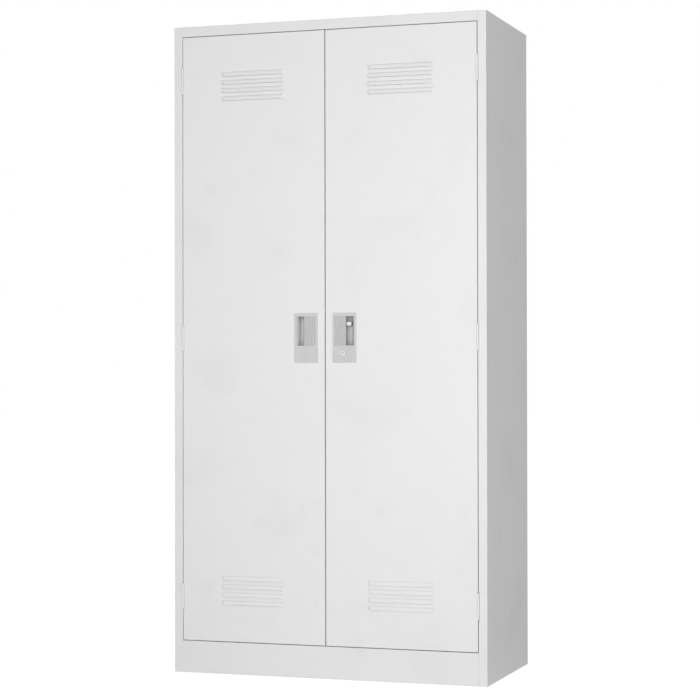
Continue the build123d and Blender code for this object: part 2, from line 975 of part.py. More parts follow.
def grip_groove_places():
    """The X places of the grip's vertical grooves."""
    start = plate_near + grip_margin
    pitch = (pocket_near - start) / grip_grooves
    return [start + pitch * (i + 0.5) for i in range(grip_grooves)]


def handle_cup():
    """A pull handle without lock: plate, skirt, snap lugs and the pocket's tub in one moulding."""
    hole_x, hole_z = handle_hole(plate_near, running)
    plate = block((plate_near, plate_far), (plate_front, front), (plate_bottom, plate_top))
    plate = fillet(plate.edges().filter_by(Axis.Y), handle_corner)
    plate = fillet(plate.edges().group_by(Axis.Y)[0], handle_edge)
    slab = block(hole_x, (front, cover_back), hole_z)
    skirt = block(hole_x, (front, front + skirt_depth), hole_z)
    skirt -= block(
        (hole_x[0] + handle_wall, hole_x[1] - handle_wall),
        (front - beyond, front + skirt_depth + beyond),
        (hole_z[0] + handle_wall, hole_z[1] - handle_wall),
    )
    tub = block(
        (undercut_x - undercut_wall, hole_x[1]),
        (front, cup_back),
        (pocket_bottom - handle_wall, pocket_top + handle_wall),
    )
    cup = plate + slab + skirt + tub
    lug_y = (skin_back + running / 2, skin_back + handle_wall)
    for z in (hole_z[0] + snap_from_corner, hole_z[1] - snap_from_corner):
        for edge, way in ((hole_x[0], -1), (hole_x[1], 1)):
            lug_x = (edge - way * handle_wall / 2, edge + way * (snap_reach + running))
            cup += block(lug_x, lug_y, (z - snap_width / 2, z + snap_width / 2))
    cup -= pocket_void()
    groove_y = plate_front + groove_depth - groove_radius
    for x in grip_groove_places():
        cup -= rod_z(groove_radius, x, groove_y, (pocket_bottom, pocket_top))
    return cup


def post_places():
    """The posts on the back of the right handle that carry the latch case."""
    reach = case_half_width + sheet + bend + case_screw_head_radius + fit
    drop = case_half_height - 2 * post_radius
    return [(latch_x + sx * reach, latch_z + sz * drop) for sx in (-1, 1) for sz in (-1, 1)]


def right_handle_cup():
    """The right handle, with the holes of the spindle and the lock, and the latch case's posts."""
    cup = handle_cup()
    for x, z in post_places():
        clear_of_tub = z < pocket_bottom - handle_wall or z > pocket_top + handle_wall
        seat = cover_back if clear_of_tub else cup_back
        cup += rod_y(post_radius, x, z, (seat - post_root, door_back))
        cup -= rod_y(case_screw_radius, x, z, (door_back - case_screw_grip, door_back + beyond))
    cup -= rod_y(spindle_radius + bearing, latch_x, latch_z, (boss_front - beyond, cup_back + beyond))
    cup -= rod_y(lock_body_radius + fit, lock_x, lock_z, (plate_front - beyond, cover_back + beyond))
    return cup


def spindle_bush():
    """The bush that carries the thumb-turn's spindle, glued to the pocket's floor."""
    bush = rod_y(boss_radius, latch_x, latch_z, (boss_front, pocket_floor))
    bore = rod_y(spindle_radius + bearing, latch_x, latch_z, (boss_front - beyond, pocket_floor + beyond))
    return bush - bore


def astragal_strip():
    """Strip welded behind the left door's free edge, joggled so that it laps behind the right door."""
    join = -left_inner + astragal_step_from_edge
    weld = block((join - astragal_weld, join + sheet), (door_back, door_back + sheet), astragal_z)
    step = block((join, join + sheet), (door_back, door_back + astragal_joggle + sheet), astragal_z)
    lap_y = (door_back + astragal_joggle, door_back + astragal_joggle + sheet)
    lap = block((join, -left_inner + astragal_width), lap_y, astragal_z)
    return weld + step + lap


def strike_plate(inner):
    """Steel plate on a door's return that the magnetic catch holds."""
    middle = (catch_bottom + catch_top) / 2
    near = inner + strike_from_edge
    x = (near, near + strike_width)
    z = (middle - strike_height / 2, middle + strike_height / 2)
    plate = block(x, (door_back, strike_back), z)
    return fillet(plate.edges().filter_by(Axis.Y), strike_corner)


def cloth_rail_ends():
    """The X middles of the cloth rail's two brackets, on the stiffener and on the hinge-side return."""
    near = stiffener_span(right_inner)[1] - bracket_width / 2 - bend
    far = door_outer - door_return + bracket_width / 2 + sheet
    return near, far


def cloth_rail():
    """Round rail on the inside of the right door, for cloths."""
    near, far = cloth_rail_ends()
    y = door_back + cloth_rail_reach
    span = (near - bracket_width / 2, far + bracket_width / 2)
    return rod_x(cloth_rail_radius, y, cloth_rail_height, span)


def cloth_rail_brackets():
    """Two brackets that hold the cloth rail, each a foot on the door and an eye round the rail."""
    brackets = []
    y = door_back + cloth_rail_reach
    for x in cloth_rail_ends():
        span = (x - bracket_width / 2, x + bracket_width / 2)
        foot = block(
            span,
            (door_back, door_back + bracket_thickness),
            (cloth_rail_height - 2 * bracket_foot, cloth_rail_height + 2 * bracket_foot),
        )
        arm = block(
            span,
            (door_back, y),
            (cloth_rail_height - cloth_rail_radius, cloth_rail_height + cloth_rail_radius),
        )
        eye = rod_x(cloth_rail_radius + bracket_thickness, y, cloth_rail_height, span)
        bore = rod_x(cloth_rail_radius + fit, y, cloth_rail_height, (span[0] - beyond, span[1] + beyond))
        bracket = foot + arm + eye - bore
        for z in cloth_rail_screw_heights():
            hole_y = (door_back - beyond, door_back + bracket_thickness + beyond)
            bracket -= rod_y(bracket_screw_radius + fit, x, z, hole_y)
        brackets += bracket.solids()
    return Compound(children=brackets)


def cloth_rail_screw_heights():
    """The heights of the two screws in each bracket's foot."""
    reach = 2 * bracket_foot - bracket_screw_from_end
    return (cloth_rail_height - reach, cloth_rail_height + reach)


def cloth_rail_screws():
    """Small screws of the cloth rail's brackets."""
    screws = []
    seat = door_back + bracket_thickness
    for x in cloth_rail_ends():
        for z in cloth_rail_screw_heights():
            head = rod_y(bracket_screw_head_radius, x, z, (seat, seat + bracket_screw_head_height))
            shank = rod_y(bracket_screw_radius, x, z, (door_back, seat))
            screws += (head + shank).solids()
    return Compound(children=screws)


# Latch of the right door

def thumb_turn():
    """The bar in the right pocket with its spindle through the boss to the rotor."""
    bar_back = boss_front - running
    bar_y = (bar_back - turn_thickness, bar_back)
    bar_x = (latch_x - turn_length / 2, latch_x + turn_length / 2)
    bar = block(bar_x, bar_y, (latch_z - turn_height / 2, latch_z + turn_height / 2))
    bar = fillet(bar.edges().filter_by(Axis.Y), turn_corner)
    bar = fillet(bar.edges().group_by(Axis.Y)[0], turn_edge)
    spindle = rod_y(spindle_radius, latch_x, latch_z, (bar_back - turn_edge, rotor_front))
    square = spindle_radius / sqrt(2)
    tang_y = (rotor_front - plane_gap, rotor_back)
    tang = block((latch_x - square, latch_x + square), tang_y, (latch_z - square, latch_z + square))
    return bar + spindle + tang


def drive_pin_places():
    """The rotor's two drive pins: the left one lifts the upper rod, the right one lowers the other."""
    return [
        (latch_x + pin_circle * cos(radians(a)), latch_z + pin_circle * sin(radians(a))) for a in (225, 45)
    ]


def latch_rotor():
    """Disc on the thumb-turn's spindle with two drive pins."""
    square = spindle_radius / sqrt(2) + fit
    rotor = rod_y(rotor_radius, latch_x, latch_z, (rotor_front, rotor_back))
    hole_y = (rotor_front - beyond, rotor_back + beyond)
    rotor -= block((latch_x - square, latch_x + square), hole_y, (latch_z - square, latch_z + square))
    for x, z in drive_pin_places():
        rotor += rod_y(drive_pin_radius, x, z, (rotor_back - plane_gap, rod_back + plane_gap))
    return rotor


def latch_yoke(way):
    """The slotted plate that a drive pin moves: way is -1 for the upper rod's, +1 for the lower's."""
    pin_z = latch_z + way * throw / 2
    slot_near = throw / 2 - drive_pin_radius - slot_play
    slot_far = pin_circle + drive_pin_radius + slot_play
    slot_half = drive_pin_radius + slot_play
    y = (rod_front, rod_back)
    arm_x = (latch_x + way * (slot_near - yoke_inner_wall), latch_x + way * (slot_far + yoke_wall))
    root = latch_z - way * (throw + bridge_height / 2)
    arm = block(arm_x, y, (pin_z + way * (slot_half + yoke_end), root))
    bridge = block((arm_x[1], latch_x - way * rod_width / 2), y, (root, rod_root(way)))
    slot_x = (latch_x + way * slot_near, latch_x + way * slot_far)
    slot = block(slot_x, (y[0] - beyond, y[1] + beyond), (pin_z - slot_half, pin_z + slot_half))
    return arm + bridge - slot


def rod_root(way):
    """The height at which a rod is welded to its yoke."""
    return latch_z - way * (throw + bridge_height * 3 / 2)


def latch_rod(way, end):
    """A flat rod between its yoke and the height of its far end, which is rounded."""
    x = (latch_x - rod_width / 2, latch_x + rod_width / 2)
    rod = block(x, (rod_front, rod_back), (rod_root(way), end))
    corners = rod.edges().filter_by(Axis.Y).group_by(Axis.Z)
    return fillet(corners[-1 if way < 0 else 0], rod_corner)


def upper_latch_rod():
    """Rod that rises behind the header's lip when the thumb-turn is turned."""
    return latch_rod(-1, lip_bottom - rod_top_gap)


def lower_latch_rod():
    """Rod that drops behind the plinth's lip when the thumb-turn is turned."""
    return latch_rod(1, lip_top + rod_foot_gap)


def rod_stop_lug():
    """Lug on the back of the lower rod, which the turned cam keeps from rising or falling."""
    near = lock_x + cam_length - lug_overlap
    low = lock_z + cam_half_width + lug_play
    return block((near, near + lug_width), (rod_back, cam_back), (low, low + lug_height))


def rod_guides():
    """Plastic guides on the right door's stiffeners, two for each rod."""
    guides = []
    half = guide_height / 2
    beside_handle = (plate_bottom - guide_from_plate, plate_top + guide_from_plate)
    near_ends = (door_bottom + guide_from_door_end, door_top - guide_from_door_end)
    for z in beside_handle + near_ends:
        x = (latch_x - guide_width / 2, latch_x + guide_width / 2)
        guide = block(x, (door_back, door_back + guide_depth), (z - half, z + half))
        guide = fillet(guide.edges().filter_by(Axis.Z).group_by(Axis.Y)[-1], guide_corner)
        slot_x = (latch_x - rod_width / 2 - rod_clearance, latch_x + rod_width / 2 + rod_clearance)
        slot_y = (rod_front - rod_clearance, rod_back + rod_clearance)
        guide -= block(slot_x, slot_y, (z - half - beyond, z + half + beyond))
        guides += guide.solids()
    return Compound(children=guides)


def latch_case():
    """Hat cover over the rotor, open above and below for the rods."""
    inner = case_half_width + sheet
    outer = inner + case_foot
    foot = door_back + sheet
    section = folded(
        [
            (latch_x - outer, foot),
            (latch_x - inner, foot),
            (latch_x - inner, case_back),
            (latch_x + inner, case_back),
            (latch_x + inner, foot),
            (latch_x + outer, foot),
        ],
        Side.RIGHT,
    )
    case = along_z(section, (latch_z - case_half_height, latch_z + case_half_height))
    for x, z in post_places():
        case -= rod_y(case_screw_radius + fit, x, z, (door_back - beyond, foot + beyond))
    return case


def latch_case_screws():
    """Screws of the latch case into the handle's posts."""
    screws = []
    foot = door_back + sheet
    for x, z in post_places():
        head = rod_y(case_screw_head_radius, x, z, (foot, foot + case_screw_head_height))
        shank = rod_y(case_screw_radius, x, z, (door_back - case_screw_grip, foot))
        screws += (head + shank).solids()
    return Compound(children=screws)


# Key lock

def lock_barrel():
    """The lock's body through the right handle's plate, with its round face."""
    head = rod_y(lock_head_radius, lock_x, lock_z, (plate_front - lock_proud, plate_front))
    head = fillet(head.edges().group_by(Axis.Y)[0], lock_proud / 2)
    body = rod_y(lock_body_radius, lock_x, lock_z, (plate_front, lock_back))
    bore = rod_y(plug_radius + bearing, lock_x, lock_z, (plate_front - 2 * lock_proud, lock_back + beyond))
    return head + body - bore


def lock_nut():
    """Hexagon nut that clamps the lock behind the plate."""
    plane = Plane(origin=(lock_x, cover_back, lock_z), x_dir=(1, 0, 0), z_dir=(0, 1, 0))
    nut = extrude(plane * RegularPolygon(nut_radius, 6), amount=nut_thickness)
    bore_y = (cover_back - beyond, cover_back + nut_thickness + beyond)
    return nut - rod_y(lock_body_radius + fit, lock_x, lock_z, bore_y)


def lock_plug():
    """The turning plug with its key slot and the seat of the cam behind."""
    face = plate_front - lock_proud
    plug = rod_y(plug_radius, lock_x, lock_z, (face + plug_recess, cam_front))
    slot = block(
        (lock_x - key_slot_width / 2, lock_x + key_slot_width / 2),
        (face - beyond, face + key_slot_depth),
        (lock_z - key_slot_height / 2, lock_z + key_slot_height / 2),
    )
    tail_x = (lock_x - plug_tail_half, lock_x + plug_tail_half)
    tail_z = (lock_z - plug_tail_half, lock_z + plug_tail_half)
    tail = block(tail_x, (cam_front, cam_back), tail_z)
    thread = rod_y(cam_screw_radius, lock_x, lock_z, (cam_back - cam_screw_grip, cam_back + beyond))
    return plug - slot + tail - thread


def lock_cam():
    """Cam of the lock, its tongue down when unlocked."""
    hub = rod_y(plug_radius + cam_hub_wall, lock_x, lock_z, (cam_front, cam_back))
    tip_z = lock_z - cam_length + cam_half_width
    tongue_x = (lock_x - cam_half_width, lock_x + cam_half_width)
    tongue = block(tongue_x, (cam_front, cam_back), (tip_z, lock_z))
    tip = rod_y(cam_half_width, lock_x, tip_z, (cam_front, cam_back))
    seat = plug_tail_half + fit
    bore_y = (cam_front - beyond, cam_back + beyond)
    bore = block((lock_x - seat, lock_x + seat), bore_y, (lock_z - seat, lock_z + seat))
    return hub + tongue + tip - bore


def cam_screw():
    """Screw that holds the cam on the plug."""
    head = rod_y(plug_radius, lock_x, lock_z, (cam_back, cam_back + cam_screw_head_height))
    return head + rod_y(cam_screw_radius, lock_x, lock_z, (cam_back - cam_screw_grip, cam_back))


def build_nodes():
    """Every piece of the cabinet under its own name."""
    nodes = {
        "right_side_panel": side_panel(),
        "top_panel": top_panel(),
        "plinth_panel": plinth(),
        "back_panel": back_panel(),
        "floor_pan": floor_pan(),
        "rear_base_rail": rear_base_rail(),
        "foot_glides": foot_glides(),
        "centre_partition": centre_partition(),
        "top_shelf": top_shelf(),
        "shelf_uprights": shelf_uprights(),
        "shelf_clips": shelf_clips(),
        "tool_rail": tool_rail(),
        "tool_rail_screws": tool_rail_screws(),
        "tool_hooks": tool_hooks(),
        "drip_tray": drip_tray(),
        "magnetic_catch": magnetic_catch(),
        "catch_screws": catch_screws(),
        "door_bumpers": door_bumpers(),
        "right_frame_hinge_leaves": frame_hinge_leaves(),
        "right_hinge_pins": hinge_pins(),
        "right_door_panel": door_panel(right_inner),
        "right_door_hinge_leaves": door_hinge_leaves(),
        "right_door_stiffeners": door_stiffeners(right_inner),
        "right_handle_cup": right_handle_cup(),
        "spindle_bush": spindle_bush(),
        "right_strike_plate": strike_plate(right_inner),
        "cloth_rail": cloth_rail(),
        "cloth_rail_brackets": cloth_rail_brackets(),
        "cloth_rail_screws": cloth_rail_screws(),
        "rod_guides": rod_guides(),
        "latch_case": latch_case(),
        "latch_case_screws": latch_case_screws(),
        "thumb_turn": thumb_turn(),
        "latch_rotor": latch_rotor(),
        "upper_latch_yoke": latch_yoke(-1),
        "lower_latch_yoke": latch_yoke(1),
        "upper_latch_rod": upper_latch_rod(),
        "lower_latch_rod": lower_latch_rod(),
        "rod_stop_lug": rod_stop_lug(),
        "lock_barrel": lock_barrel(),
        "lock_nut": lock_nut(),
        "lock_plug": lock_plug(),
        "lock_cam": lock_cam(),
        "cam_screw": cam_screw(),
        "left_door_panel": mirrored(door_panel(left_inner)),
        "left_door_stiffeners": mirrored(door_stiffeners(left_inner)),
        "left_strike_plate": mirrored(strike_plate(left_inner)),
        "left_handle_cup": Pos(right_inner - left_inner, 0, 0) * mirrored(handle_cup()),
        "astragal_strip": astragal_strip(),
    }
    for number, top in enumerate(shelf_heights, 1):
        nodes[f"adjustable_shelf_{number}"] = adjustable_shelf(top)
    for name in ("side_panel", "frame_hinge_leaves", "hinge_pins", "door_hinge_leaves"):
        nodes[f"left_{name}"] = mirrored(nodes[f"right_{name}"])
    return nodes


os.makedirs("parts", exist_ok=True)
for node_name, shape in build_nodes().items():
    export_step(shape, f"parts/{node_name}.step")
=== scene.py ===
"""Looks of a two-door steel cabinet for cleaning supplies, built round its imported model.

Lengths are metres in the model's own frame: +Z is up and the doors face -Y.
"""

import json
import logging
import math
from collections.abc import Iterable, Mapping, Sequence
from dataclasses import dataclass
from enum import Enum

import bmesh
import bpy
from mathutils import Matrix, Vector


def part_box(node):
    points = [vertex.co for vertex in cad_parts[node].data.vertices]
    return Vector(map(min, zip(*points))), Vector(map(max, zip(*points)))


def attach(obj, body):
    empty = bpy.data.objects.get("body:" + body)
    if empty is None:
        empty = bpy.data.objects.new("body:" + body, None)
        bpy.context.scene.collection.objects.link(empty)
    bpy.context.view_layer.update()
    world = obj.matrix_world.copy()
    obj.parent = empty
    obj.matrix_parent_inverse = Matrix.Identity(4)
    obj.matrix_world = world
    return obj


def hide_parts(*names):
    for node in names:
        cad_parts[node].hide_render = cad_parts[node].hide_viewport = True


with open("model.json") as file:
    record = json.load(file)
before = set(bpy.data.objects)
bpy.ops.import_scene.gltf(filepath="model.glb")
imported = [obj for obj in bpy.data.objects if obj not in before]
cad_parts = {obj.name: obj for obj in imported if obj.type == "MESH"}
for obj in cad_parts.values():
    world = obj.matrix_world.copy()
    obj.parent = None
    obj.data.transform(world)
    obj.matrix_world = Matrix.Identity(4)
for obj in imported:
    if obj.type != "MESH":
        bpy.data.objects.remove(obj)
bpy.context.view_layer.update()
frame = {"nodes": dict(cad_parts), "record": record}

LOG = logging.getLogger("supply_cabinet")
MM = 0.001
NOISE_MEAN = 0.5
BEVEL_SAMPLES = 4
SHELTER_SAMPLES = 12
MIX_FACTOR, MIX_FIRST, MIX_SECOND, MIX_RESULT = 0, 6, 7, 2
Colour = tuple[float, float, float]
Band = tuple[float, float]
WHITE: Colour = (1.0, 1.0, 1.0)


class Slot(Enum):
    """The record's material slots."""

    CASING_PAINT = "casing_paint"
    DOOR_PAINT = "door_paint"
    ZINC_STEEL = "zinc_steel"
    HANDLE_PLASTIC = "handle_plastic"
    POLISHED_CHROME = "polished_chrome"
    WHITE_NYLON = "white_nylon"
    BLACK_NYLON = "black_nylon"
    BUMPER_RUBBER = "bumper_rubber"
    TRAY_PLASTIC = "tray_plastic"


class Body(Enum):
    """The bodies that pieces ride on."""

    CABINET = "cabinet"
    RIGHT_DOOR = "right_door"
    LOCK_CORE = "lock_core"


class Axis(Enum):
    """A direction in the model's frame."""

    RIGHT = (1.0, 0.0, 0.0)
    LEFT = (-1.0, 0.0, 0.0)
    BACK = (0.0, 1.0, 0.0)
    FRONT = (0.0, -1.0, 0.0)
    UP = (0.0, 0.0, 1.0)


@dataclass(frozen=True)
class Pattern:
    """A cloudy noise around 0.5: the size of its lumps, its octaves, how strong they are, its stretch."""

    size: float
    detail: float = 2.0
    roughness: float = 0.5
    stretch: tuple[float, float, float] = (1.0, 1.0, 1.0)


class Value:
    """A number that varies over a surface, on which Python's operators add Math nodes."""

    def __init__(self, graph: "Graph", socket: bpy.types.NodeSocket) -> None:
        """Wraps the output socket of a node in a graph."""
        self.graph = graph
        self.socket = socket

    def _with(self, operation: str, *operands: "Value | float") -> "Value":
        """The result of a Math node, from its operation and its inputs in order."""
        node = self.graph.node("ShaderNodeMath", {"operation": operation}, dict(enumerate(operands)))
        return Value(self.graph, node.outputs[0])

    def __add__(self, other: "Value | float") -> "Value":
        """self + other."""
        return self._with("ADD", self, other)

    __radd__ = __add__

    def __sub__(self, other: "Value | float") -> "Value":
        """self - other."""
        return self._with("SUBTRACT", self, other)

    def __rsub__(self, other: float) -> "Value":
        """other - self."""
        return self._with("SUBTRACT", other, self)

    def __mul__(self, other: "Value | float") -> "Value":
        """self * other."""
        return self._with("MULTIPLY", self, other)

    __rmul__ = __mul__

    def limited(self) -> "Value":
        """The value kept between 0 and 1."""
        node = self.graph.node("ShaderNodeClamp", {}, {"Value": self})
        return Value(self.graph, node.outputs[0])

    def above(self, start: float, end: float) -> "Value":
        """A soft step: 0 where the value is below start and 1 where it is above end.

        Args:
            start: where the step begins.
            end: where it is complete.

        Returns:
            The step as a value from 0 to 1.
        """
        settings = {"interpolation_type": "SMOOTHSTEP", "clamp": True}
        inputs = {"Value": self, "From Min": start, "From Max": end}
        return Value(self.graph, self.graph.node("ShaderNodeMapRange", settings, inputs).outputs[0])


Link = Value | bpy.types.NodeSocket | float | tuple[float, ...]


class Graph:
    """The nodes of one material or of the world."""

    def __init__(self, owner: bpy.types.Material | bpy.types.World, output: str) -> None:
        """Empties the owner's nodes and starts with an output.

        Args:
            owner: the material or world that the nodes belong to.
            output: the output node's type.
        """
        owner.use_nodes = True
        self.tree = owner.node_tree
        self.tree.nodes.clear()
        self.output = self.node(output)

    def node(
        self,
        kind: str,
        settings: Mapping[str, object] | None = None,
        inputs: Mapping[str | int, Link] | None = None,
    ) -> bpy.types.Node:
        """Makes a node.

        Args:
            kind: the node's type.
            settings: its properties, such as a Math node's operation, set first.
            inputs: a value or a link for each named or numbered input.

        Returns:
            The new node.
        """
        made = self.tree.nodes.new(kind)
        for name, setting in (settings or {}).items():
            setattr(made, name, setting)
        for name, value in (inputs or {}).items():
            self.feed(made.inputs[name], value)
        return made

    def feed(self, socket: bpy.types.NodeSocket, value: Link) -> None:
        """Links a value to an input, or sets the input to a number or colour.

        Args:
            socket: the input.
            value: what it takes.
        """
        if isinstance(value, Value):
            value = value.socket
        if isinstance(value, bpy.types.NodeSocket):
            self.tree.links.new(value, socket)
        elif socket.type == "RGBA" and len(value) == 3:
            socket.default_value = (*value, 1.0)
        else:
            socket.default_value = value

    def place(self, stretch: tuple[float, float, float] = (1.0, 1.0, 1.0)) -> bpy.types.NodeSocket:
        """Where a point lies on the piece, in metres, stretched along each axis.

        Args:
            stretch: by how much a pattern is drawn out along X, Y and Z.

        Returns:
            The place as a vector.
        """
        points = self.node("ShaderNodeTexCoord").outputs["Object"]
        squeeze = tuple(1.0 / part for part in stretch)
        settings = {"operation": "MULTIPLY"}
        return self.node("ShaderNodeVectorMath", settings, {0: points, 1: squeeze}).outputs[0]

    def noise(self, pattern: Pattern) -> Value:
        """Cloudy noise around 0.5.

        Args:
            pattern: its size, octaves and stretch.

        Returns:
            The noise as a value.
        """
        inputs = {
            "Vector": self.place(pattern.stretch),
            "Scale": 1.0 / pattern.size,
            "Detail": pattern.detail,
            "Roughness": pattern.roughness,
        }
        return Value(self, self.node("ShaderNodeTexNoise", {"noise_dimensions": "3D"}, inputs).outputs[0])

    def cells(self, size: float) -> Value:
        """How far a point is from the middle of its cell.

        Args:
            size: the size of a cell, in metres.

        Returns:
            The distance as a value.
        """
        inputs = {"Vector": self.place(), "Scale": 1.0 / size}
        cells = self.node("ShaderNodeTexVoronoi", {"feature": "F1"}, inputs)
        return Value(self, cells.outputs["Distance"])

    def mixed(self, share: Link, first: Link, second: Link) -> bpy.types.NodeSocket:
        """Two colours mixed; the share, from 0 to 1, is that of the second."""
        inputs = {MIX_FACTOR: share, MIX_FIRST: first, MIX_SECOND: second}
        return self.node("ShaderNodeMix", {"data_type": "RGBA"}, inputs).outputs[MIX_RESULT]

    def rounded_normal(self, radius: float) -> bpy.types.NodeSocket:
        """The surface's normal with its edges rounded to a radius in metres."""
        return self.node("ShaderNodeBevel", {"samples": BEVEL_SAMPLES}, {"Radius": radius}).outputs[0]

    def edge(self, radius: float) -> Value:
        """How near a point is to an edge.

        Args:
            radius: how far from the edge it is felt, in metres.

        Returns:
            0 on flat surfaces and up to about 0.3 at a square edge.
        """
        true_normal = self.node("ShaderNodeNewGeometry").outputs["Normal"]
        inputs = {0: self.rounded_normal(radius), 1: true_normal}
        aligned = self.node("ShaderNodeVectorMath", {"operation": "DOT_PRODUCT"}, inputs)
        return 1.0 - Value(self, aligned.outputs["Value"])

    def shelter(self, reach: float) -> Value:
        """How shut in a point is, as in a groove or a pocket.

        Args:
            reach: how far off a wall is felt, in metres.

        Returns:
            0 in the open and nearly 1 in a deep recess.
        """
        settings = {"samples": SHELTER_SAMPLES}
        node = self.node("ShaderNodeAmbientOcclusion", settings, {"Distance": reach})
        return 1.0 - Value(self, node.outputs["AO"])

    def bump(self, height: Value, depth: float, normal: bpy.types.NodeSocket) -> bpy.types.NodeSocket:
        """A normal with relief added to it: its height from 0 to 1, and how many metres 1 is."""
        inputs = {"Height": height, "Distance": depth, "Strength": 1.0, "Normal": normal}
        return self.node("ShaderNodeBump", {}, inputs).outputs[0]

    def seen(self) -> Value:
        """1 for what the camera, a mirror or clear glass sees, and 0 for the light on other surfaces.

        Returns:
            The share as a value.
        """
        rays = self.node("ShaderNodeLightPath")
        camera, glossy, through = (
            Value(self, rays.outputs[f"Is {kind} Ray"]) for kind in ("Camera", "Glossy", "Transmission")
        )
        return (camera + glossy + through).limited()

    def surface(self, shader: bpy.types.Node) -> None:
        """Links a shader's node to the output."""
        self.feed(self.output.inputs["Surface"], shader.outputs[0])


class Finish(Graph):
    """The nodes of one material."""

    def __init__(self, name: str) -> None:
        """Starts an empty material of a name."""
        self.material = bpy.data.materials.new(name)
        super().__init__(self.material, "ShaderNodeOutputMaterial")

    def principled(self, **sockets: Link) -> bpy.types.Material:
        """Ends the material with a Principled shader.

        Args:
            sockets: its inputs, with underscores for the spaces in their names.

        Returns:
            The finished material.
        """
        inputs = {name.replace("_", " "): value for name, value in sockets.items()}
        self.surface(self.node("ShaderNodeBsdfPrincipled", {}, inputs))
        return self.material


def toned(colour: Colour, factor: float) -> Colour:
    """A colour made lighter or darker, no part of it above 1."""
    return tuple(min(part * factor, 1.0) for part in colour)


@dataclass(frozen=True)
class PowderCoat:
    """Sprayed and baked paint on thin sheet: orange peel, soft sheen, slight waves in the sheet."""

    name: str
    colour: Colour
    cloud: Pattern = Pattern(0.22, 3.0, 0.55)
    cloud_band: Band = (0.50, 0.72)
    cloud_tone: float = 0.97
    speck: Pattern = Pattern(1.1 * MM, 1.0)
    speck_share: float = 0.3
    pale_band: Band = (0.36, 0.64)
    pale_share: float = 0.5
    pale_tone: float = 1.02
    touch: Pattern = Pattern(0.055, 4.0, 0.62)
    touch_band: Band = (0.58, 0.74)
    touch_share: float = 0.18
    touch_matt: float = 0.06
    edge_reach: float = 1.4 * MM
    edge_band: Band = (0.02, 0.22)
    edge_share: float = 0.45
    edge_matt: float = 0.08
    edge_radius: float = 0.5 * MM
    thin_tone: float = 0.90
    peel: Pattern = Pattern(2.6 * MM, 2.0, 0.55)
    peel_depth: float = 0.016 * MM
    wave: Pattern = Pattern(0.34, 1.0, 0.4, (1.0, 1.0, 1.8))
    wave_depth: float = 0.45 * MM
    roughness: float = 0.40
    roughness_spread: float = 0.10
    refraction: float = 1.5

    def build(self) -> bpy.types.Material:
        """Makes the material.

        Returns:
            The material.
        """
        graph = Finish(self.name)
        cloud, speck = graph.noise(self.cloud), graph.noise(self.speck)
        touch = graph.noise(self.touch).above(*self.touch_band)
        edge = graph.edge(self.edge_reach).above(*self.edge_band)
        thin = toned(self.colour, self.thin_tone)
        pale = (cloud * (1.0 - self.speck_share) + speck * self.speck_share).above(*self.pale_band)
        tone = graph.mixed(pale * self.pale_share, self.colour, toned(self.colour, self.pale_tone))
        tone = graph.mixed(cloud.above(*self.cloud_band), tone, toned(self.colour, self.cloud_tone))
        tone = graph.mixed(touch * self.touch_share, tone, thin)
        tone = graph.mixed(edge * self.edge_share, tone, thin)
        normal = graph.rounded_normal(self.edge_radius)
        normal = graph.bump(graph.noise(self.wave), self.wave_depth, normal)
        normal = graph.bump(graph.noise(self.peel), self.peel_depth, normal)
        rough = self.roughness + (cloud - NOISE_MEAN) * self.roughness_spread
        rough = (rough + touch * self.touch_matt + edge * self.edge_matt).limited()
        return graph.principled(Base_Color=tone, Roughness=rough, Normal=normal, IOR=self.refraction)


@dataclass(frozen=True)
class MouldedPlastic:
    """Injection-moulded plastic with a fine eroded grain, faint flow marks, and painted shade darkening its
    hollows and grooves.
    """

    name: str
    colour: Colour
    flow: Colour
    streak: Pattern = Pattern(0.030, 3.0, 0.6, (1.0, 1.0, 4.0))
    streak_band: Band = (0.40, 0.70)
    grain: Pattern = Pattern(0.55 * MM, 3.0, 0.65)
    grain_depth: float = 0.018 * MM
    grain_band: Band = (0.45, 0.80)
    grain_share: float = 0.30
    grain_spread: float = 0.16
    edge_radius: float = 0.30 * MM
    edge_reach: float = 0.8 * MM
    edge_band: Band = (0.02, 0.25)
    edge_share: float = 0.5
    edge_tone: float = 1.06
    edge_gloss: float = 0.10
    # reach, band and strength of the painted shade laid into hollows such as the handle pockets
    hollow_reach: float = 20.0 * MM
    hollow_band: Band = (0.08, 0.85)
    hollow_shade_tone: float = 0.55
    # reach, band and strength of the painted shade laid into narrow grooves
    groove_reach: float = 3.0 * MM
    groove_band: Band = (0.05, 0.35)
    groove_shade_share: float = 0.45
    roughness: float = 0.46
    refraction: float = 1.48

    def build(self) -> bpy.types.Material:
        """Makes the material.

        Returns:
            The material.
        """
        graph = Finish(self.name)
        streak, grain = graph.noise(self.streak), graph.noise(self.grain)
        edge = graph.edge(self.edge_reach).above(*self.edge_band)
        # painted shade: a darkened copy of the plastic's colour, laid into hollows and grooves where shade
        # falls
        dull = toned(self.colour, self.hollow_shade_tone)
        hollow_shade = graph.shelter(self.hollow_reach).above(*self.hollow_band)
        groove = graph.shelter(self.groove_reach).above(*self.groove_band)
        tone = graph.mixed(streak.above(*self.streak_band), self.colour, self.flow)
        tone = graph.mixed(grain.above(*self.grain_band) * self.grain_share, tone, self.flow)
        tone = graph.mixed(edge * self.edge_share, tone, toned(self.colour, self.edge_tone))
        # painted shade: hollows darkened by an ambient-occlusion mask, standing in for the shade inside
        # them
        tone = graph.mixed(hollow_shade, tone, dull)
        # painted shade: grooves darkened by a short-reach ambient-occlusion mask
        tone = graph.mixed(groove * self.groove_shade_share, tone, dull)
        normal = graph.bump(grain, self.grain_depth, graph.rounded_normal(self.edge_radius))
        rough = self.roughness + (grain - NOISE_MEAN) * self.grain_spread
        rough = (rough - edge * self.edge_gloss).limited()
        return graph.principled(Base_Color=tone, Roughness=rough, Normal=normal, IOR=self.refraction)


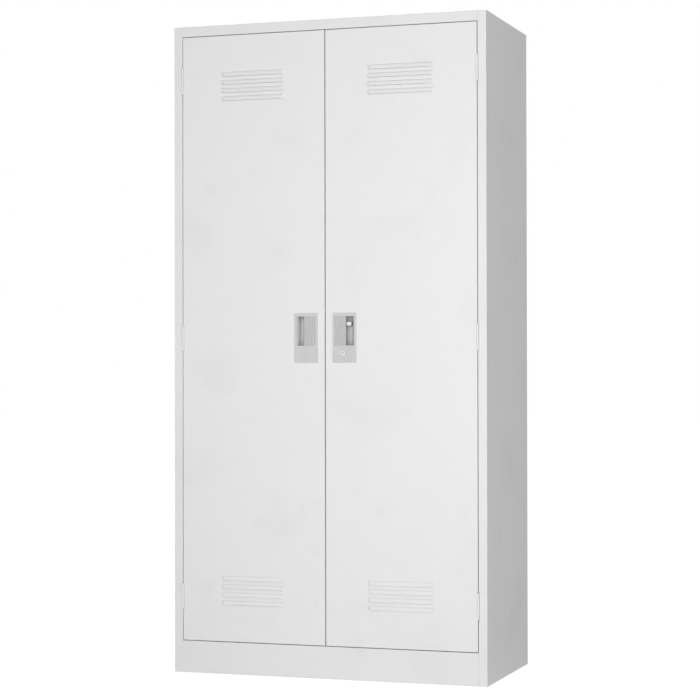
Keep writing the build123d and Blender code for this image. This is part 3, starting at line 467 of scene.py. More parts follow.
@dataclass(frozen=True)
class ZincPlate:
    """Bright zinc on rolled or drawn steel: fine draw lines, cloudy passivation, dull spots."""

    name: str
    colour: Colour = (0.66, 0.67, 0.68)
    warm: Colour = (0.66, 0.63, 0.56)
    dull: Colour = (0.42, 0.43, 0.45)
    lines: Pattern = Pattern(0.25 * MM, 2.0, 0.6, (1.0, 1.0, 40.0))
    line_depth: float = 0.008 * MM
    line_spread: float = 0.16
    cloud: Pattern = Pattern(0.016, 4.0, 0.6)
    warm_band: Band = (0.44, 0.66)
    dull_band: Band = (0.64, 0.78)
    dull_share: float = 0.5
    matt_band: Band = (0.55, 0.75)
    matt_rise: float = 0.14
    cell_size: float = 2.2 * MM
    cell_band: Band = (0.10, 0.75)
    cell_share: float = 0.16
    edge_reach: float = 0.5 * MM
    edge_band: Band = (0.02, 0.25)
    edge_share: float = 0.5
    edge_radius: float = 0.25 * MM
    bright_tone: float = 1.15
    roughness: float = 0.30

    def build(self) -> bpy.types.Material:
        """Makes the material.

        Returns:
            The material.
        """
        graph = Finish(self.name)
        lines, cloud = graph.noise(self.lines), graph.noise(self.cloud)
        cells = graph.cells(self.cell_size).above(*self.cell_band)
        edge = graph.edge(self.edge_reach).above(*self.edge_band)
        bright = toned(self.colour, self.bright_tone)
        tone = graph.mixed(cloud.above(*self.warm_band), self.colour, self.warm)
        tone = graph.mixed(cells * self.cell_share, tone, bright)
        tone = graph.mixed(cloud.above(*self.dull_band) * self.dull_share, tone, self.dull)
        tone = graph.mixed(edge * self.edge_share, tone, bright)
        normal = graph.bump(lines, self.line_depth, graph.rounded_normal(self.edge_radius))
        rough = self.roughness + (lines - NOISE_MEAN) * self.line_spread
        rough = (rough + cloud.above(*self.matt_band) * self.matt_rise).limited()
        return graph.principled(Base_Color=tone, Metallic=1.0, Roughness=rough, Normal=normal)


@dataclass(frozen=True)
class ChromePlate:
    """Polished chrome with faint wiping smears and hairlines."""

    name: str
    colour: Colour = (0.86, 0.87, 0.88)
    shade: Colour = (0.70, 0.71, 0.73)
    smear: Pattern = Pattern(0.012, 4.0, 0.65, (3.0, 1.0, 1.0))
    smear_band: Band = (0.48, 0.74)
    smear_share: float = 0.55
    matt_band: Band = (0.45, 0.75)
    matt_rise: float = 0.12
    hair: Pattern = Pattern(0.12 * MM, 1.0, 0.5, (60.0, 1.0, 1.0))
    hair_band: Band = (0.62, 0.80)
    hair_depth: float = 0.002 * MM
    hair_matt: float = 0.05
    edge_reach: float = 0.35 * MM
    edge_band: Band = (0.02, 0.25)
    edge_share: float = 0.25
    edge_radius: float = 0.3 * MM
    roughness: float = 0.09

    def build(self) -> bpy.types.Material:
        """Makes the material.

        Returns:
            The material.
        """
        graph = Finish(self.name)
        smear = graph.noise(self.smear)
        hair = graph.noise(self.hair).above(*self.hair_band)
        edge = graph.edge(self.edge_reach).above(*self.edge_band)
        tone = graph.mixed(smear.above(*self.smear_band) * self.smear_share, self.colour, self.shade)
        tone = graph.mixed(edge * self.edge_share, tone, self.shade)
        normal = graph.bump(hair, self.hair_depth, graph.rounded_normal(self.edge_radius))
        rough = self.roughness + smear.above(*self.matt_band) * self.matt_rise
        rough = (rough + hair * self.hair_matt).limited()
        return graph.principled(Base_Color=tone, Metallic=1.0, Roughness=rough, Normal=normal)


@dataclass(frozen=True)
class Rubber:
    """Soft moulded rubber with a dry bloom."""

    name: str
    colour: Colour = (0.060, 0.060, 0.062)
    bloom: Colour = (0.17, 0.17, 0.17)
    dust: Pattern = Pattern(4.0 * MM, 4.0, 0.6)
    dust_band: Band = (0.42, 0.72)
    dust_spread: float = 0.2
    pores: Pattern = Pattern(0.35 * MM, 2.0, 0.6)
    pore_depth: float = 0.02 * MM
    edge_radius: float = 0.4 * MM
    roughness: float = 0.78
    refraction: float = 1.45

    def build(self) -> bpy.types.Material:
        """Makes the material.

        Returns:
            The material.
        """
        graph = Finish(self.name)
        dust, pores = graph.noise(self.dust), graph.noise(self.pores)
        tone = graph.mixed(dust.above(*self.dust_band), self.colour, self.bloom)
        normal = graph.bump(pores, self.pore_depth, graph.rounded_normal(self.edge_radius))
        rough = (self.roughness + (dust - NOISE_MEAN) * self.dust_spread).limited()
        return graph.principled(Base_Color=tone, Roughness=rough, Normal=normal, IOR=self.refraction)


FINISHES = {
    Slot.CASING_PAINT: PowderCoat("casing_powder_coat", (0.775, 0.775, 0.778)),
    Slot.DOOR_PAINT: PowderCoat("door_powder_coat", (0.795, 0.795, 0.792)),
    Slot.ZINC_STEEL: ZincPlate("bright_zinc"),
    Slot.HANDLE_PLASTIC: MouldedPlastic(
        "handle_grey_plastic", (0.598, 0.601, 0.596), (0.568, 0.572, 0.568)
    ),
    Slot.POLISHED_CHROME: ChromePlate("polished_chrome"),
    Slot.WHITE_NYLON: MouldedPlastic("white_nylon", (0.78, 0.78, 0.74), (0.70, 0.70, 0.65), roughness=0.40),
    Slot.BLACK_NYLON: MouldedPlastic("black_nylon", (0.030, 0.030, 0.032), (0.045, 0.045, 0.047)),
    Slot.BUMPER_RUBBER: Rubber("bumper_rubber"),
    Slot.TRAY_PLASTIC: MouldedPlastic("tray_grey_plastic", (0.20, 0.215, 0.23), (0.165, 0.18, 0.195)),
}


class Workshop:
    """Holds the materials, dresses the model's nodes, and turns formed meshes into pieces."""

    def __init__(self) -> None:
        """Builds every finish once and reads each node's slot from the record."""
        self.materials = {slot: finish.build() for slot, finish in FINISHES.items()}
        self.slots = {part["node"]: Slot(part["material_slot"]) for part in frame["record"]["subparts"]}

    def dress(self, nodes: Iterable[str]) -> None:
        """Gives nodes of the model the finish of their slot.

        Args:
            nodes: the nodes' names.
        """
        for name in nodes:
            mesh = frame["nodes"][name].data
            mesh.materials.clear()
            mesh.materials.append(self.materials[self.slots[name]])
            LOG.info("dressed %s in %s", name, self.slots[name].value)

    def piece(
        self, form: "Form", name: str, body: Body, slot: Slot, replaces: Sequence[str] = ()
    ) -> bpy.types.Object:
        """Makes a piece from a formed mesh.

        Args:
            form: the mesh.
            name: the piece's name.
            body: the body that it rides on.
            slot: the slot of its finish.
            replaces: nodes of the model that it stands for.

        Returns:
            The piece.
        """
        made = form.to_object(name)
        made.data.materials.append(self.materials[slot])
        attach(made, body.value)
        if replaces:
            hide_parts(*replaces)
        LOG.info("built %s", name)
        return made


def seat(place: Sequence[float], towards: Axis) -> Matrix:
    """A matrix that puts the local origin at a place and turns local +Z towards an axis."""
    turn = Vector(towards.value).to_track_quat("Z", "Y")
    return Matrix.Translation(Vector(place)) @ turn.to_matrix().to_4x4()


def circle(radius: float, height: float, steps: int) -> list[Vector]:
    """So many points round the local Z axis, at a radius and a height."""
    turns = [2.0 * math.pi * i / steps for i in range(steps)]
    return [Vector((radius * math.cos(a), radius * math.sin(a), height)) for a in turns]


def dome(radius: float, height: float, base: float = 0.0) -> list[tuple[float, float]]:
    """The profile of a dome with a blunt tip.

    Args:
        radius: the dome's radius.
        height: how high it rises.
        base: the height at which it starts.

    Returns:
        (radius, height) pairs from its foot to its tip.
    """
    tip = 0.05 * MM
    rise = [math.radians(a) for a in range(0, 91, 15)]
    return [(max(radius * math.cos(a), tip), base + height * math.sin(a)) for a in rise]


def rounded_rectangle(
    low: Sequence[float], high: Sequence[float], radius: float, height: float, steps: int = 8
) -> list[Vector]:
    """A rectangle with round corners, level at a height.

    Args:
        low: its lowest X and Y.
        high: its highest X and Y.
        radius: the corners' radius.
        height: its height along Z.
        steps: how many stretches each corner has.

    Returns:
        The points in order, anticlockwise from above.
    """
    corners = (
        (high[0] - radius, high[1] - radius, 0.0),
        (low[0] + radius, high[1] - radius, 0.5),
        (low[0] + radius, low[1] + radius, 1.0),
        (high[0] - radius, low[1] + radius, 1.5),
    )
    points = []
    for x, y, start in corners:
        for i in range(steps + 1):
            angle = math.pi * (start + 0.5 * i / steps)
            points.append(Vector((x + radius * math.cos(angle), y + radius * math.sin(angle), height)))
    return points


class Form:
    """A mesh in the making."""

    def __init__(self, smooth_below: float = 35.0) -> None:
        """Starts an empty mesh; edges that bend by fewer degrees than the limit are shaded smooth."""
        self.mesh = bmesh.new()
        self.smooth_below = math.radians(smooth_below)

    def ring(self, points: Iterable[Vector], at: Matrix) -> list[bmesh.types.BMVert]:
        """Adds local points, put in place by a matrix, and returns the new vertices."""
        return [self.mesh.verts.new(at @ point) for point in points]

    def join(self, first: Sequence[bmesh.types.BMVert], second: Sequence[bmesh.types.BMVert]) -> None:
        """Adds a band of faces between two rings with as many vertices each.

        Args:
            first: one ring.
            second: the other.
        """
        for i, corner in enumerate(first):
            after = (i + 1) % len(first)
            self.mesh.faces.new((corner, first[after], second[after], second[i]))

    def loft(self, outlines: Sequence[Sequence[Vector]], at: Matrix, looped: bool = False) -> None:
        """Adds a skin through outlines.

        Args:
            outlines: the outlines, each with as many points.
            at: where they are put.
            looped: joins the last outline to the first instead of closing both ends.
        """
        rings = [self.ring(outline, at) for outline in outlines]
        for first, second in zip(rings, rings[1:]):
            self.join(first, second)
        if looped:
            self.join(rings[-1], rings[0])
        else:
            self.mesh.faces.new(rings[0])
            self.mesh.faces.new(rings[-1])

    def lathe(self, profile: Sequence[tuple[float, float]], at: Matrix, steps: int) -> None:
        """Adds a turned solid with so many sides, from the (radius, height) pairs of its profile."""
        self.loft([circle(radius, height, steps) for radius, height in profile], at)

    def to_object(self, name: str) -> bpy.types.Object:
        """Makes an object of the mesh.

        Args:
            name: the object's name.

        Returns:
            The object, linked to the scene.
        """
        bmesh.ops.recalc_face_normals(self.mesh, faces=self.mesh.faces)
        for edge in self.mesh.edges:
            edge.smooth = len(edge.link_faces) == 2 and edge.calc_face_angle(0.0) < self.smooth_below
        for face in self.mesh.faces:
            face.smooth = True
        data = bpy.data.meshes.new(name)
        self.mesh.to_mesh(data)
        self.mesh.free()
        made = bpy.data.objects.new(name, data)
        bpy.context.scene.collection.objects.link(made)
        return made


@dataclass(frozen=True)
class PanHead:
    """A pan-head screw with a cross recess; the last six sizes are shares of the head's own."""

    radius: float
    height: float
    shank: float
    length: float
    steps: int = 32
    flat: float = 0.66
    crown: float = 0.65
    arm: float = 0.50
    arm_half: float = 0.14
    recess: float = 0.62
    recess_foot: float = 0.72

    def add(self, form: Form, at: Matrix) -> None:
        """Adds the screw to a mesh, its head's seat at the local origin.

        Args:
            form: the mesh.
            at: where it is put, with the head towards local +Z.
        """
        radius, height, shank = self.radius, self.height, self.shank
        flat, arm, half = self.flat * radius, self.arm * radius, self.arm_half * radius
        rise = [math.radians(a) for a in (0.0, 22.0, 45.0, 68.0, 90.0)]
        head = [
            (flat + (radius - flat) * math.cos(a), height * (1.0 - self.crown + self.crown * math.sin(a)))
            for a in rise
        ]
        tip = [(shank * 0.8, -self.length), (shank, 0.2 * shank - self.length)]
        profile = [*tip, (shank, 0.0), (radius, 0.0), *head]
        rings = [form.ring(circle(r, z, self.steps), at) for r, z in profile]
        for first, second in zip(rings, rings[1:]):
            form.join(first, second)
        form.mesh.faces.new(rings[0])
        cross = [
            (arm, -half), (arm, half), (half, half), (half, arm), (-half, arm), (-half, half),
            (-arm, half), (-arm, -half), (-half, -half), (-half, -arm), (half, -arm), (half, -half),
        ]
        brim = form.ring([Vector((x, y, height)) for x, y in cross], at)
        taper, floor = self.recess_foot, height - self.recess * height
        foot = form.ring([Vector((x * taper, y * taper, floor)) for x, y in cross], at)
        form.join(brim, foot)
        form.mesh.faces.new(foot)
        pairs = [(loop[i - 1], loop[i]) for loop in (rings[-1], brim) for i in range(len(loop))]
        edges = [form.mesh.edges.get(pair) or form.mesh.edges.new(pair) for pair in pairs]
        bmesh.ops.triangle_fill(form.mesh, use_beauty=True, use_dissolve=False, edges=edges)

    def stands(self, low: float, high: float) -> tuple[float, ...]:
        """Where screws stand along one side of their box.

        Args:
            low: where the side starts.
            high: where it ends.

        Returns:
            The middle if the side is one head long, and otherwise a place at each end.
        """
        if high - low < 3.0 * self.radius:
            return ((low + high) / 2.0,)
        return (low + self.radius, high - self.radius)

    def in_box(self, node: str, towards: Axis) -> Form:
        """The screws that a node of the model holds, read from its box.

        Args:
            node: the node.
            towards: where the heads look, to the front or the back.

        Returns:
            Their mesh.
        """
        low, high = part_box(node)
        y = low.y + self.height if towards is Axis.FRONT else high.y - self.height
        form = Form()
        for x in self.stands(low.x, high.x):
            for z in self.stands(low.z, high.z):
                self.add(form, seat((x, y, z), towards))
        return form


@dataclass
class Casing:
    """The folded and welded outer casing on its plastic glides."""

    nodes: tuple[str, ...] = (
        "left_side_panel", "right_side_panel", "top_panel", "plinth_panel", "back_panel", "floor_pan",
        "rear_base_rail", "foot_glides", "door_bumpers",
    )
    weld_radius: float = 2.6 * MM
    weld_ridge: float = 0.12 * MM
    weld_pitch: float = 112.0 * MM
    weld_from_edge: float = 8.0 * MM
    weld_from_end: float = 60.0 * MM
    weld_steps: int = 20
    weld_profile: tuple[tuple[float, float], ...] = (
        (1.25, -0.3), (1.10, 0.45), (0.95, 1.0), (0.80, 0.8), (0.55, 0.25), (0.15, 0.1),
    )

    def build(self, shop: Workshop) -> None:
        """Dresses the casing and adds the spot welds down its back.

        Args:
            shop: the workshop.
        """
        shop.dress(self.nodes)
        low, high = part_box("right_side_panel")
        span = high.z - low.z - 2.0 * self.weld_from_end
        count = round(span / self.weld_pitch) + 1
        form = Form(smooth_below=60.0)
        profile = [(self.weld_radius * across, self.weld_ridge * up) for across, up in self.weld_profile]
        for way in (-1.0, 1.0):
            for i in range(count):
                z = low.z + self.weld_from_end + span * i / (count - 1)
                place = (way * (high.x - self.weld_from_edge), high.y, z)
                form.lathe(profile, seat(place, Axis.BACK), self.weld_steps)
        shop.piece(form, "spot_welds", Body.CABINET, Slot.CASING_PAINT)


@dataclass
class Shelving:
    """The shelf bay: partition, uprights, clips and shelves."""

    nodes: tuple[str, ...] = (
        "centre_partition", "top_shelf", "adjustable_shelf_1", "adjustable_shelf_2", "adjustable_shelf_3",
        "shelf_uprights", "shelf_clips",
    )

    def build(self, shop: Workshop) -> None:
        """Dresses the shelves and what carries them."""
        shop.dress(self.nodes)


@dataclass
class BroomBay:
    """The tall bay: tool rail with capped hooks above a ribbed drip tray."""

    nodes: tuple[str, ...] = ("tool_rail", "tool_hooks")
    hook_count: int = 4
    hook_plate_half: float = 6.0 * MM
    ball_radius: float = 4.2 * MM
    cap_wall: float = 0.6 * MM
    cap_length: float = 13.0 * MM
    cap_steps: int = 24
    screw: PanHead = PanHead(3.6 * MM, 1.8 * MM, 2.0 * MM, 1.6 * MM)
    tray_corner: float = 12.0 * MM
    tray_draft: float = 3.0 * MM
    tray_wall: float = 2.0 * MM
    tray_lip: float = 4.5 * MM
    rib_pitch: float = 26.0 * MM
    rib_half: float = 1.6 * MM
    rib_height: float = 1.1 * MM
    rib_end_gap: float = 14.0 * MM

    def build(self, shop: Workshop) -> None:
        """Dresses the rail and hooks, and makes the caps, the screws and the tray.

        Args:
            shop: the workshop.
        """
        shop.dress(self.nodes)
        shop.piece(self._caps(), "hook_caps", Body.CABINET, Slot.BLACK_NYLON)
        screws = self.screw.in_box("tool_rail_screws", Axis.FRONT)
        shop.piece(screws, "tool_rail_cross_screws", Body.CABINET, Slot.ZINC_STEEL, ["tool_rail_screws"])
        shop.piece(self._tray(), "ribbed_drip_tray", Body.CABINET, Slot.TRAY_PLASTIC, ["drip_tray"])

    def _caps(self) -> Form:
        """The dipped plastic caps on the hooks' tips.

        Returns:
            Their mesh.
        """
        low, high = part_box("tool_hooks")
        first, last = low.x + self.hook_plate_half, high.x - self.hook_plate_half
        radius = self.ball_radius + self.cap_wall
        profile = [
            (radius * 0.78, -self.cap_length), (radius * 0.88, 0.5 * MM - self.cap_length),
            (radius * 0.90, -radius * 0.8), (radius * 0.98, -radius * 0.25), *dome(radius, radius),
        ]
        form = Form(smooth_below=50.0)
        for i in range(self.hook_count):
            x = first + (last - first) * i / (self.hook_count - 1)
            tip = (x, low.y + self.ball_radius, high.z - self.ball_radius)
            form.lathe(profile, seat(tip, Axis.UP), self.cap_steps)
        return form

    def _tray(self) -> Form:
        """The drip tray with drafted walls, a rolled lip and ribs on its floor.

        Returns:
            Its mesh.
        """
        low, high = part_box("drip_tray")
        wall, lip, draft, top = self.tray_wall, self.tray_lip, self.tray_draft, high.z - low.z
        inner = lip + 0.6 * MM
        floor_inset = inner + draft + 0.5 * MM
        steps = [
            (lip + draft + 2.5 * MM, 0.0), (lip + draft + 0.7 * MM, 0.7 * MM), (lip + draft, 2.5 * MM),
            (lip - wall, top - 2.6 * MM), (0.6 * MM, top - 2.6 * MM), (0.0, top - 2.0 * MM),
            (0.0, top - 0.7 * MM), (0.7 * MM, top), (inner - 1.0 * MM, top), (inner, top - 1.0 * MM),
            (floor_inset, wall + 2.0 * MM), (floor_inset + 0.6 * MM, wall + 0.6 * MM),
            (floor_inset + 2.0 * MM, wall),
        ]
        rings = [
            rounded_rectangle(
                (low.x + inset, low.y + inset),
                (high.x - inset, high.y - inset),
                max(self.tray_corner - 0.6 * inset, 3.0 * MM),
                low.z + height,
            )
            for inset, height in steps
        ]
        form = Form(smooth_below=28.0)
        form.loft(rings, Matrix.Identity(4))
        inset = floor_inset + self.rib_end_gap
        start, end = low.y + inset, high.y - inset
        count = int((end - start) / self.rib_pitch) + 1
        for i in range(count):
            y = start + (end - start) * (i + 0.5) / count
            self._rib(form, (low.x + inset, high.x - inset), y, low.z + wall)
        return form

    def _rib(self, form: Form, x: tuple[float, float], y: float, floor: float) -> None:
        """Adds one rib with rounded ends and a soft top.

        Args:
            form: the mesh that it is added to.
            x: where it starts and ends.
            y: its middle.
            floor: the height of the tray's floor.
        """
        steps = [
            (0.0, -0.3 * MM), (0.0, 0.6 * self.rib_height), (0.35 * MM, 0.92 * self.rib_height),
            (0.8 * MM, self.rib_height),
        ]
        rings = [
            rounded_rectangle(
                (x[0] + inset, y - self.rib_half + inset),
                (x[1] - inset, y + self.rib_half - inset),
                self.rib_half - inset,
                floor + height,
                steps=4,
            )
            for inset, height in steps
        ]
        form.loft(rings, Matrix.Identity(4))


@dataclass
class DoorCatch:
    """The magnetic catch under the header, with steel pole plates and its screws."""

    nodes: tuple[str, ...] = ("magnetic_catch",)
    pole_middle: float = 11.0 * MM
    pole_half_width: float = 7.3 * MM
    pole_from_middle: float = 6.0 * MM
    pole_half_thickness: float = 0.5 * MM
    pole_proud: float = 0.2 * MM
    pole_depth: float = 5.0 * MM
    pole_bevel: float = 0.15 * MM
    pole_corner: float = 0.25 * MM
    pole_corner_steps: int = 3
    body_height: float = 24.0 * MM
    screw: PanHead = PanHead(3.6 * MM, 1.8 * MM, 2.0 * MM, 2.5 * MM)

    def build(self, shop: Workshop) -> None:
        """Dresses the catch and makes its plates and screws.

        Args:
            shop: the workshop.
        """
        shop.dress(self.nodes)
        shop.piece(self._poles(), "catch_pole_plates", Body.CABINET, Slot.ZINC_STEEL)
        screws = self.screw.in_box("catch_screws", Axis.BACK)
        shop.piece(screws, "catch_cross_screws", Body.CABINET, Slot.ZINC_STEEL, ["catch_screws"])

    def _poles(self) -> Form:
        """The pole plates in the catch's four grooves.

        Returns:
            Their mesh.
        """
        low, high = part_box("magnetic_catch")
        middle = low.z + self.body_height / 2.0
        middle_x = (low.x + high.x) / 2.0
        half_width, half_thickness = self.pole_half_width, self.pole_half_thickness
        rings = [
            rounded_rectangle(
                (-half_width + inset, -half_thickness + inset),
                (half_width - inset, half_thickness - inset),
                self.pole_corner,
                height,
                self.pole_corner_steps,
            )
            for inset, height in ((self.pole_bevel, 0.0), (0.0, self.pole_bevel), (0.0, self.pole_depth))
        ]
        form = Form()
        for x in (middle_x - self.pole_middle, middle_x + self.pole_middle):
            for z in (middle - self.pole_from_middle, middle + self.pole_from_middle):
                form.loft(rings, seat((x, low.y - self.pole_proud, z), Axis.BACK))
        return form


@dataclass
class Doors:
    """Both door leaves with their stiffeners, hinges, strikes and the astragal."""

    nodes: tuple[str, ...] = (
        "left_door_panel", "right_door_panel", "left_door_stiffeners", "right_door_stiffeners",
        "left_door_hinge_leaves", "right_door_hinge_leaves", "left_frame_hinge_leaves",
        "right_frame_hinge_leaves", "left_hinge_pins", "right_hinge_pins", "left_strike_plate",
        "right_strike_plate", "astragal_strip",
    )

    def build(self, shop: Workshop) -> None:
        """Dresses the doors and what is fixed to them."""
        shop.dress(self.nodes)


@dataclass
class ClothRail:
    """The rail inside the right door, with brackets, screws and end plugs."""

    nodes: tuple[str, ...] = ("cloth_rail", "cloth_rail_brackets")
    screw: PanHead = PanHead(2.6 * MM, 1.2 * MM, 1.5 * MM, 2.0 * MM)
    plug_proud: float = 2.0 * MM
    plug_brim: float = 0.7 * MM
    plug_brim_height: float = 0.5 * MM
    plug_length: float = 3.0 * MM
    plug_gap: float = 0.02 * MM
    plug_steps: int = 28

    def build(self, shop: Workshop) -> None:
        """Dresses the rail and makes its screws and end plugs.

        Args:
            shop: the workshop.
        """
        shop.dress(self.nodes)
        shop.piece(self._plugs(), "cloth_rail_end_plugs", Body.RIGHT_DOOR, Slot.BLACK_NYLON)
        screws = self.screw.in_box("cloth_rail_screws", Axis.BACK)
        shop.piece(
            screws, "cloth_rail_cross_screws", Body.RIGHT_DOOR, Slot.ZINC_STEEL, ["cloth_rail_screws"]
        )

    def _plugs(self) -> Form:
        """The domed plugs in the rail's ends.

        Returns:
            Their mesh.
        """
        low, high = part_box("cloth_rail")
        radius = (high.z - low.z) / 2.0 + self.plug_brim
        middle = (low + high) / 2.0
        stem, foot = radius - self.plug_brim * 2.0, self.plug_brim_height
        profile = [
            (stem, -self.plug_length), (stem, self.plug_gap), (radius, self.plug_gap),
            *dome(radius, self.plug_proud - foot, foot),
        ]
        form = Form(smooth_below=50.0)
        for x, way in ((low.x, Axis.LEFT), (high.x, Axis.RIGHT)):
            form.lathe(profile, seat((x, middle.y, middle.z), way), self.plug_steps)
        return form


@dataclass
class HandleAndLatch:
    """The recessed handles, the thumb-turn, the rods, and the case over the rotor."""

    nodes: tuple[str, ...] = (
        "left_handle_cup", "right_handle_cup", "spindle_bush", "thumb_turn", "latch_rotor",
        "upper_latch_rod", "upper_latch_yoke", "lower_latch_rod", "lower_latch_yoke", "rod_stop_lug",
        "rod_guides", "latch_case",
    )
    screw: PanHead = PanHead(1.8 * MM, 1.2 * MM, 0.8 * MM, 4.8 * MM)

    def build(self, shop: Workshop) -> None:
        """Dresses handles and latch, and makes the case's screws.

        Args:
            shop: the workshop.
        """
        shop.dress(self.nodes)
        screws = self.screw.in_box("latch_case_screws", Axis.BACK)
        shop.piece(
            screws, "latch_case_cross_screws", Body.RIGHT_DOOR, Slot.ZINC_STEEL, ["latch_case_screws"]
        )


@dataclass
class KeyLock:
    """The cam lock below the right pocket."""

    nodes: tuple[str, ...] = ("lock_barrel", "lock_plug", "lock_cam")
    nut_bore: float = 5.55 * MM
    nut_sides: int = 6
    nut_steps: int = 72
    nut_chamfer: float = 0.24
    nut_round_off: float = 1.02
    nut_bevel: float = 0.3 * MM
    screw: PanHead = PanHead(4.2 * MM, 1.5 * MM, 1.0 * MM, 4.0 * MM)

    def build(self, shop: Workshop) -> None:
        """Dresses the lock and makes its nut and the cam's screw.

        Args:
            shop: the workshop.
        """
        shop.dress(self.nodes)
        shop.piece(self._nut(), "chamfered_lock_nut", Body.RIGHT_DOOR, Slot.ZINC_STEEL, ["lock_nut"])
        screw = self.screw.in_box("cam_screw", Axis.BACK)
        shop.piece(screw, "cam_cross_screw", Body.LOCK_CORE, Slot.ZINC_STEEL, ["cam_screw"])

    def _nut(self) -> Form:
        """The lock's hexagon nut with chamfered corners.

        Returns:
            Its mesh.
        """
        low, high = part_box("lock_nut")
        corner = max(high.x - low.x, high.z - low.z) / 2.0
        flat = corner * math.cos(math.pi / self.nut_sides)
        thickness = high.y - low.y
        part = 2.0 * math.pi / self.nut_sides

        def outline(limit: float, height: float) -> list[Vector]:
            """The hexagon cut off at a radius.

            Args:
                limit: the largest radius that is left.
                height: the outline's height along the nut's axis.

            Returns:
                The outline's points.
            """
            points = []
            for i in range(self.nut_steps):
                angle = 2.0 * math.pi * i / self.nut_steps
                reach = flat / math.cos((angle + part / 2.0) % part - part / 2.0)
                radius = min(reach, limit)
                points.append(Vector((radius * math.sin(angle), radius * math.cos(angle), height)))
            return points

        chamfer = self.nut_chamfer * thickness
        round_off = flat * self.nut_round_off
        bore, brim = self.nut_bore, self.nut_bore + self.nut_bevel
        profile = [
            outline(bore, 0.0), outline(brim, 0.0), outline(round_off, 0.0), outline(corner, chamfer),
            outline(corner, thickness - chamfer), outline(round_off, thickness),
            outline(brim, thickness), outline(bore, thickness - self.nut_bevel),
        ]
        middle = (low + high) / 2.0
        form = Form(smooth_below=20.0)
        form.loft(profile, seat((middle.x, low.y, middle.z), Axis.BACK), looped=True)
        return form


@dataclass(frozen=True)
class Lamp:
    """A rectangular soft lamp aimed at a point."""

    name: str
    place: tuple[float, float, float]
    aim: tuple[float, float, float]
    size: tuple[float, float]
    watts: float

    def build(self) -> None:
        """Adds the lamp to the scene."""
        data = bpy.data.lights.new(self.name, "AREA")
        data.shape = "RECTANGLE"
        data.size, data.size_y = self.size
        data.energy = self.watts
        made = bpy.data.objects.new(self.name, data)
        made.location = self.place
        way = Vector(self.aim) - Vector(self.place)
        made.rotation_mode = "QUATERNION"
        made.rotation_quaternion = way.to_track_quat("-Z", "Y")
        made.visible_glossy = False
        bpy.context.scene.collection.objects.link(made)
        LOG.info("lit %s", self.name)


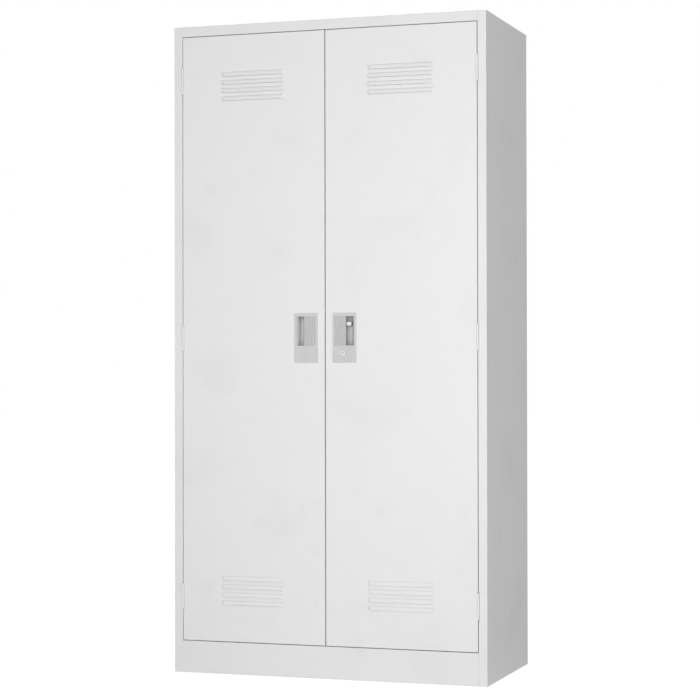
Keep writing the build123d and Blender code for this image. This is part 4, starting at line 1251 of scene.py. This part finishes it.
@dataclass
class Studio:
    """A pale floor, a white surround and soft lamps."""

    floor_size: float = 60.0
    floor_colour: Colour = (0.80, 0.80, 0.80)
    floor_grain: Pattern = Pattern(0.012, 3.0)
    floor_band: Band = (0.35, 0.65)
    floor_shade: float = 0.98
    floor_glow: float = 0.5
    floor_light: float = 1.8
    ambient: float = 0.303
    ambient_colour: Colour = (0.985, 0.990, 1.0)
    lamps: tuple[Lamp, ...] = (
        Lamp("left_softbox", (-2.6, -5.5, 1.6), (0.1, 0.0, 0.95), (1.2, 1.6), 20.0),
        Lamp("front_softbox", (0.6, -3.4, 1.15), (0.1, 0.0, 0.95), (1.6, 1.8), 38.4),
        Lamp("right_softbox", (2.6, -4.4, 1.2), (0.1, 0.0, 0.95), (1.6, 1.8), 66.0),
    )

    def build(self) -> None:
        """Sets the colour management and builds floor, surround and lamps."""
        bpy.context.scene.view_settings.view_transform = "Standard"
        self._floor()
        self._surround()
        for lamp in self.lamps:
            lamp.build()

    def _floor(self) -> None:
        """The floor, which the camera sees near white but for the cabinet's shadow."""
        half = self.floor_size / 2.0
        form = Form()
        corners = ((-half, -half), (half, -half), (half, half), (-half, half))
        form.mesh.faces.new(form.ring([Vector((x, y, 0.0)) for x, y in corners], Matrix.Identity(4)))
        floor = form.to_object("studio_floor")
        graph = Finish("studio_floor")
        grain = graph.noise(self.floor_grain).above(*self.floor_band)
        tone = graph.mixed(grain, self.floor_colour, toned(self.floor_colour, self.floor_shade))
        matt = graph.node("ShaderNodeBsdfDiffuse", {}, {"Color": tone})
        glow = graph.node("ShaderNodeEmission", {}, {"Color": WHITE, "Strength": self.floor_light})
        share = graph.seen() * self.floor_glow
        graph.surface(
            graph.node("ShaderNodeMixShader", {}, {0: share, 1: matt.outputs[0], 2: glow.outputs[0]})
        )
        floor.data.materials.append(graph.material)

    def _surround(self) -> None:
        """The world: white where it is seen or mirrored, and a level pale light on the object."""
        world = bpy.data.worlds.new("studio_surround")
        bpy.context.scene.world = world
        graph = Graph(world, "ShaderNodeOutputWorld")
        inputs = {"Color": self.ambient_colour, "Strength": self.ambient}
        lit = graph.node("ShaderNodeBackground", {}, inputs)
        white = graph.node("ShaderNodeBackground", {}, {"Color": WHITE, "Strength": 1.0})
        inputs = {0: graph.seen(), 1: lit.outputs[0], 2: white.outputs[0]}
        graph.surface(graph.node("ShaderNodeMixShader", {}, inputs))


@dataclass
class Camera:
    """The camera at the photograph's viewing angle, from the cabinet's corners in it."""

    image_width: float = 700.0
    focal_pixels: float = 2051.0
    sensor: float = 36.0
    place: tuple[float, float, float] = (1.8445, -5.499, 0.8472)
    yaw: float = 0.3251
    pitch: float = 0.0089
    roll: float = -0.0017
    clip: tuple[float, float] = (0.1, 100.0)

    def build(self) -> None:
        """Adds the camera and makes it the scene's own."""
        data = bpy.data.cameras.new("photo_camera")
        data.sensor_width = self.sensor
        data.lens = self.focal_pixels * self.sensor / self.image_width
        data.clip_start, data.clip_end = self.clip
        made = bpy.data.objects.new("photo_camera", data)
        made.location = self.place
        turn = Matrix.Rotation(self.yaw, 3, "Z") @ Matrix.Rotation(math.pi / 2.0 + self.pitch, 3, "X")
        turn = turn @ Matrix.Rotation(self.roll, 3, "Z")
        made.rotation_euler = turn.to_euler()
        bpy.context.scene.collection.objects.link(made)
        bpy.context.scene.camera = made


def main() -> None:
    """Builds the cabinet's pieces, then the studio and the camera."""
    logging.basicConfig(level=logging.INFO, format="%(name)s: %(message)s")
    shop = Workshop()
    for assembly in (
        Casing(), Doors(), HandleAndLatch(), KeyLock(), ClothRail(), DoorCatch(), Shelving(), BroomBay(),
    ):
        LOG.info("assembly %s", type(assembly).__name__)
        assembly.build(shop)
    Studio().build()
    Camera().build()


if __name__ == "__main__":
    main()
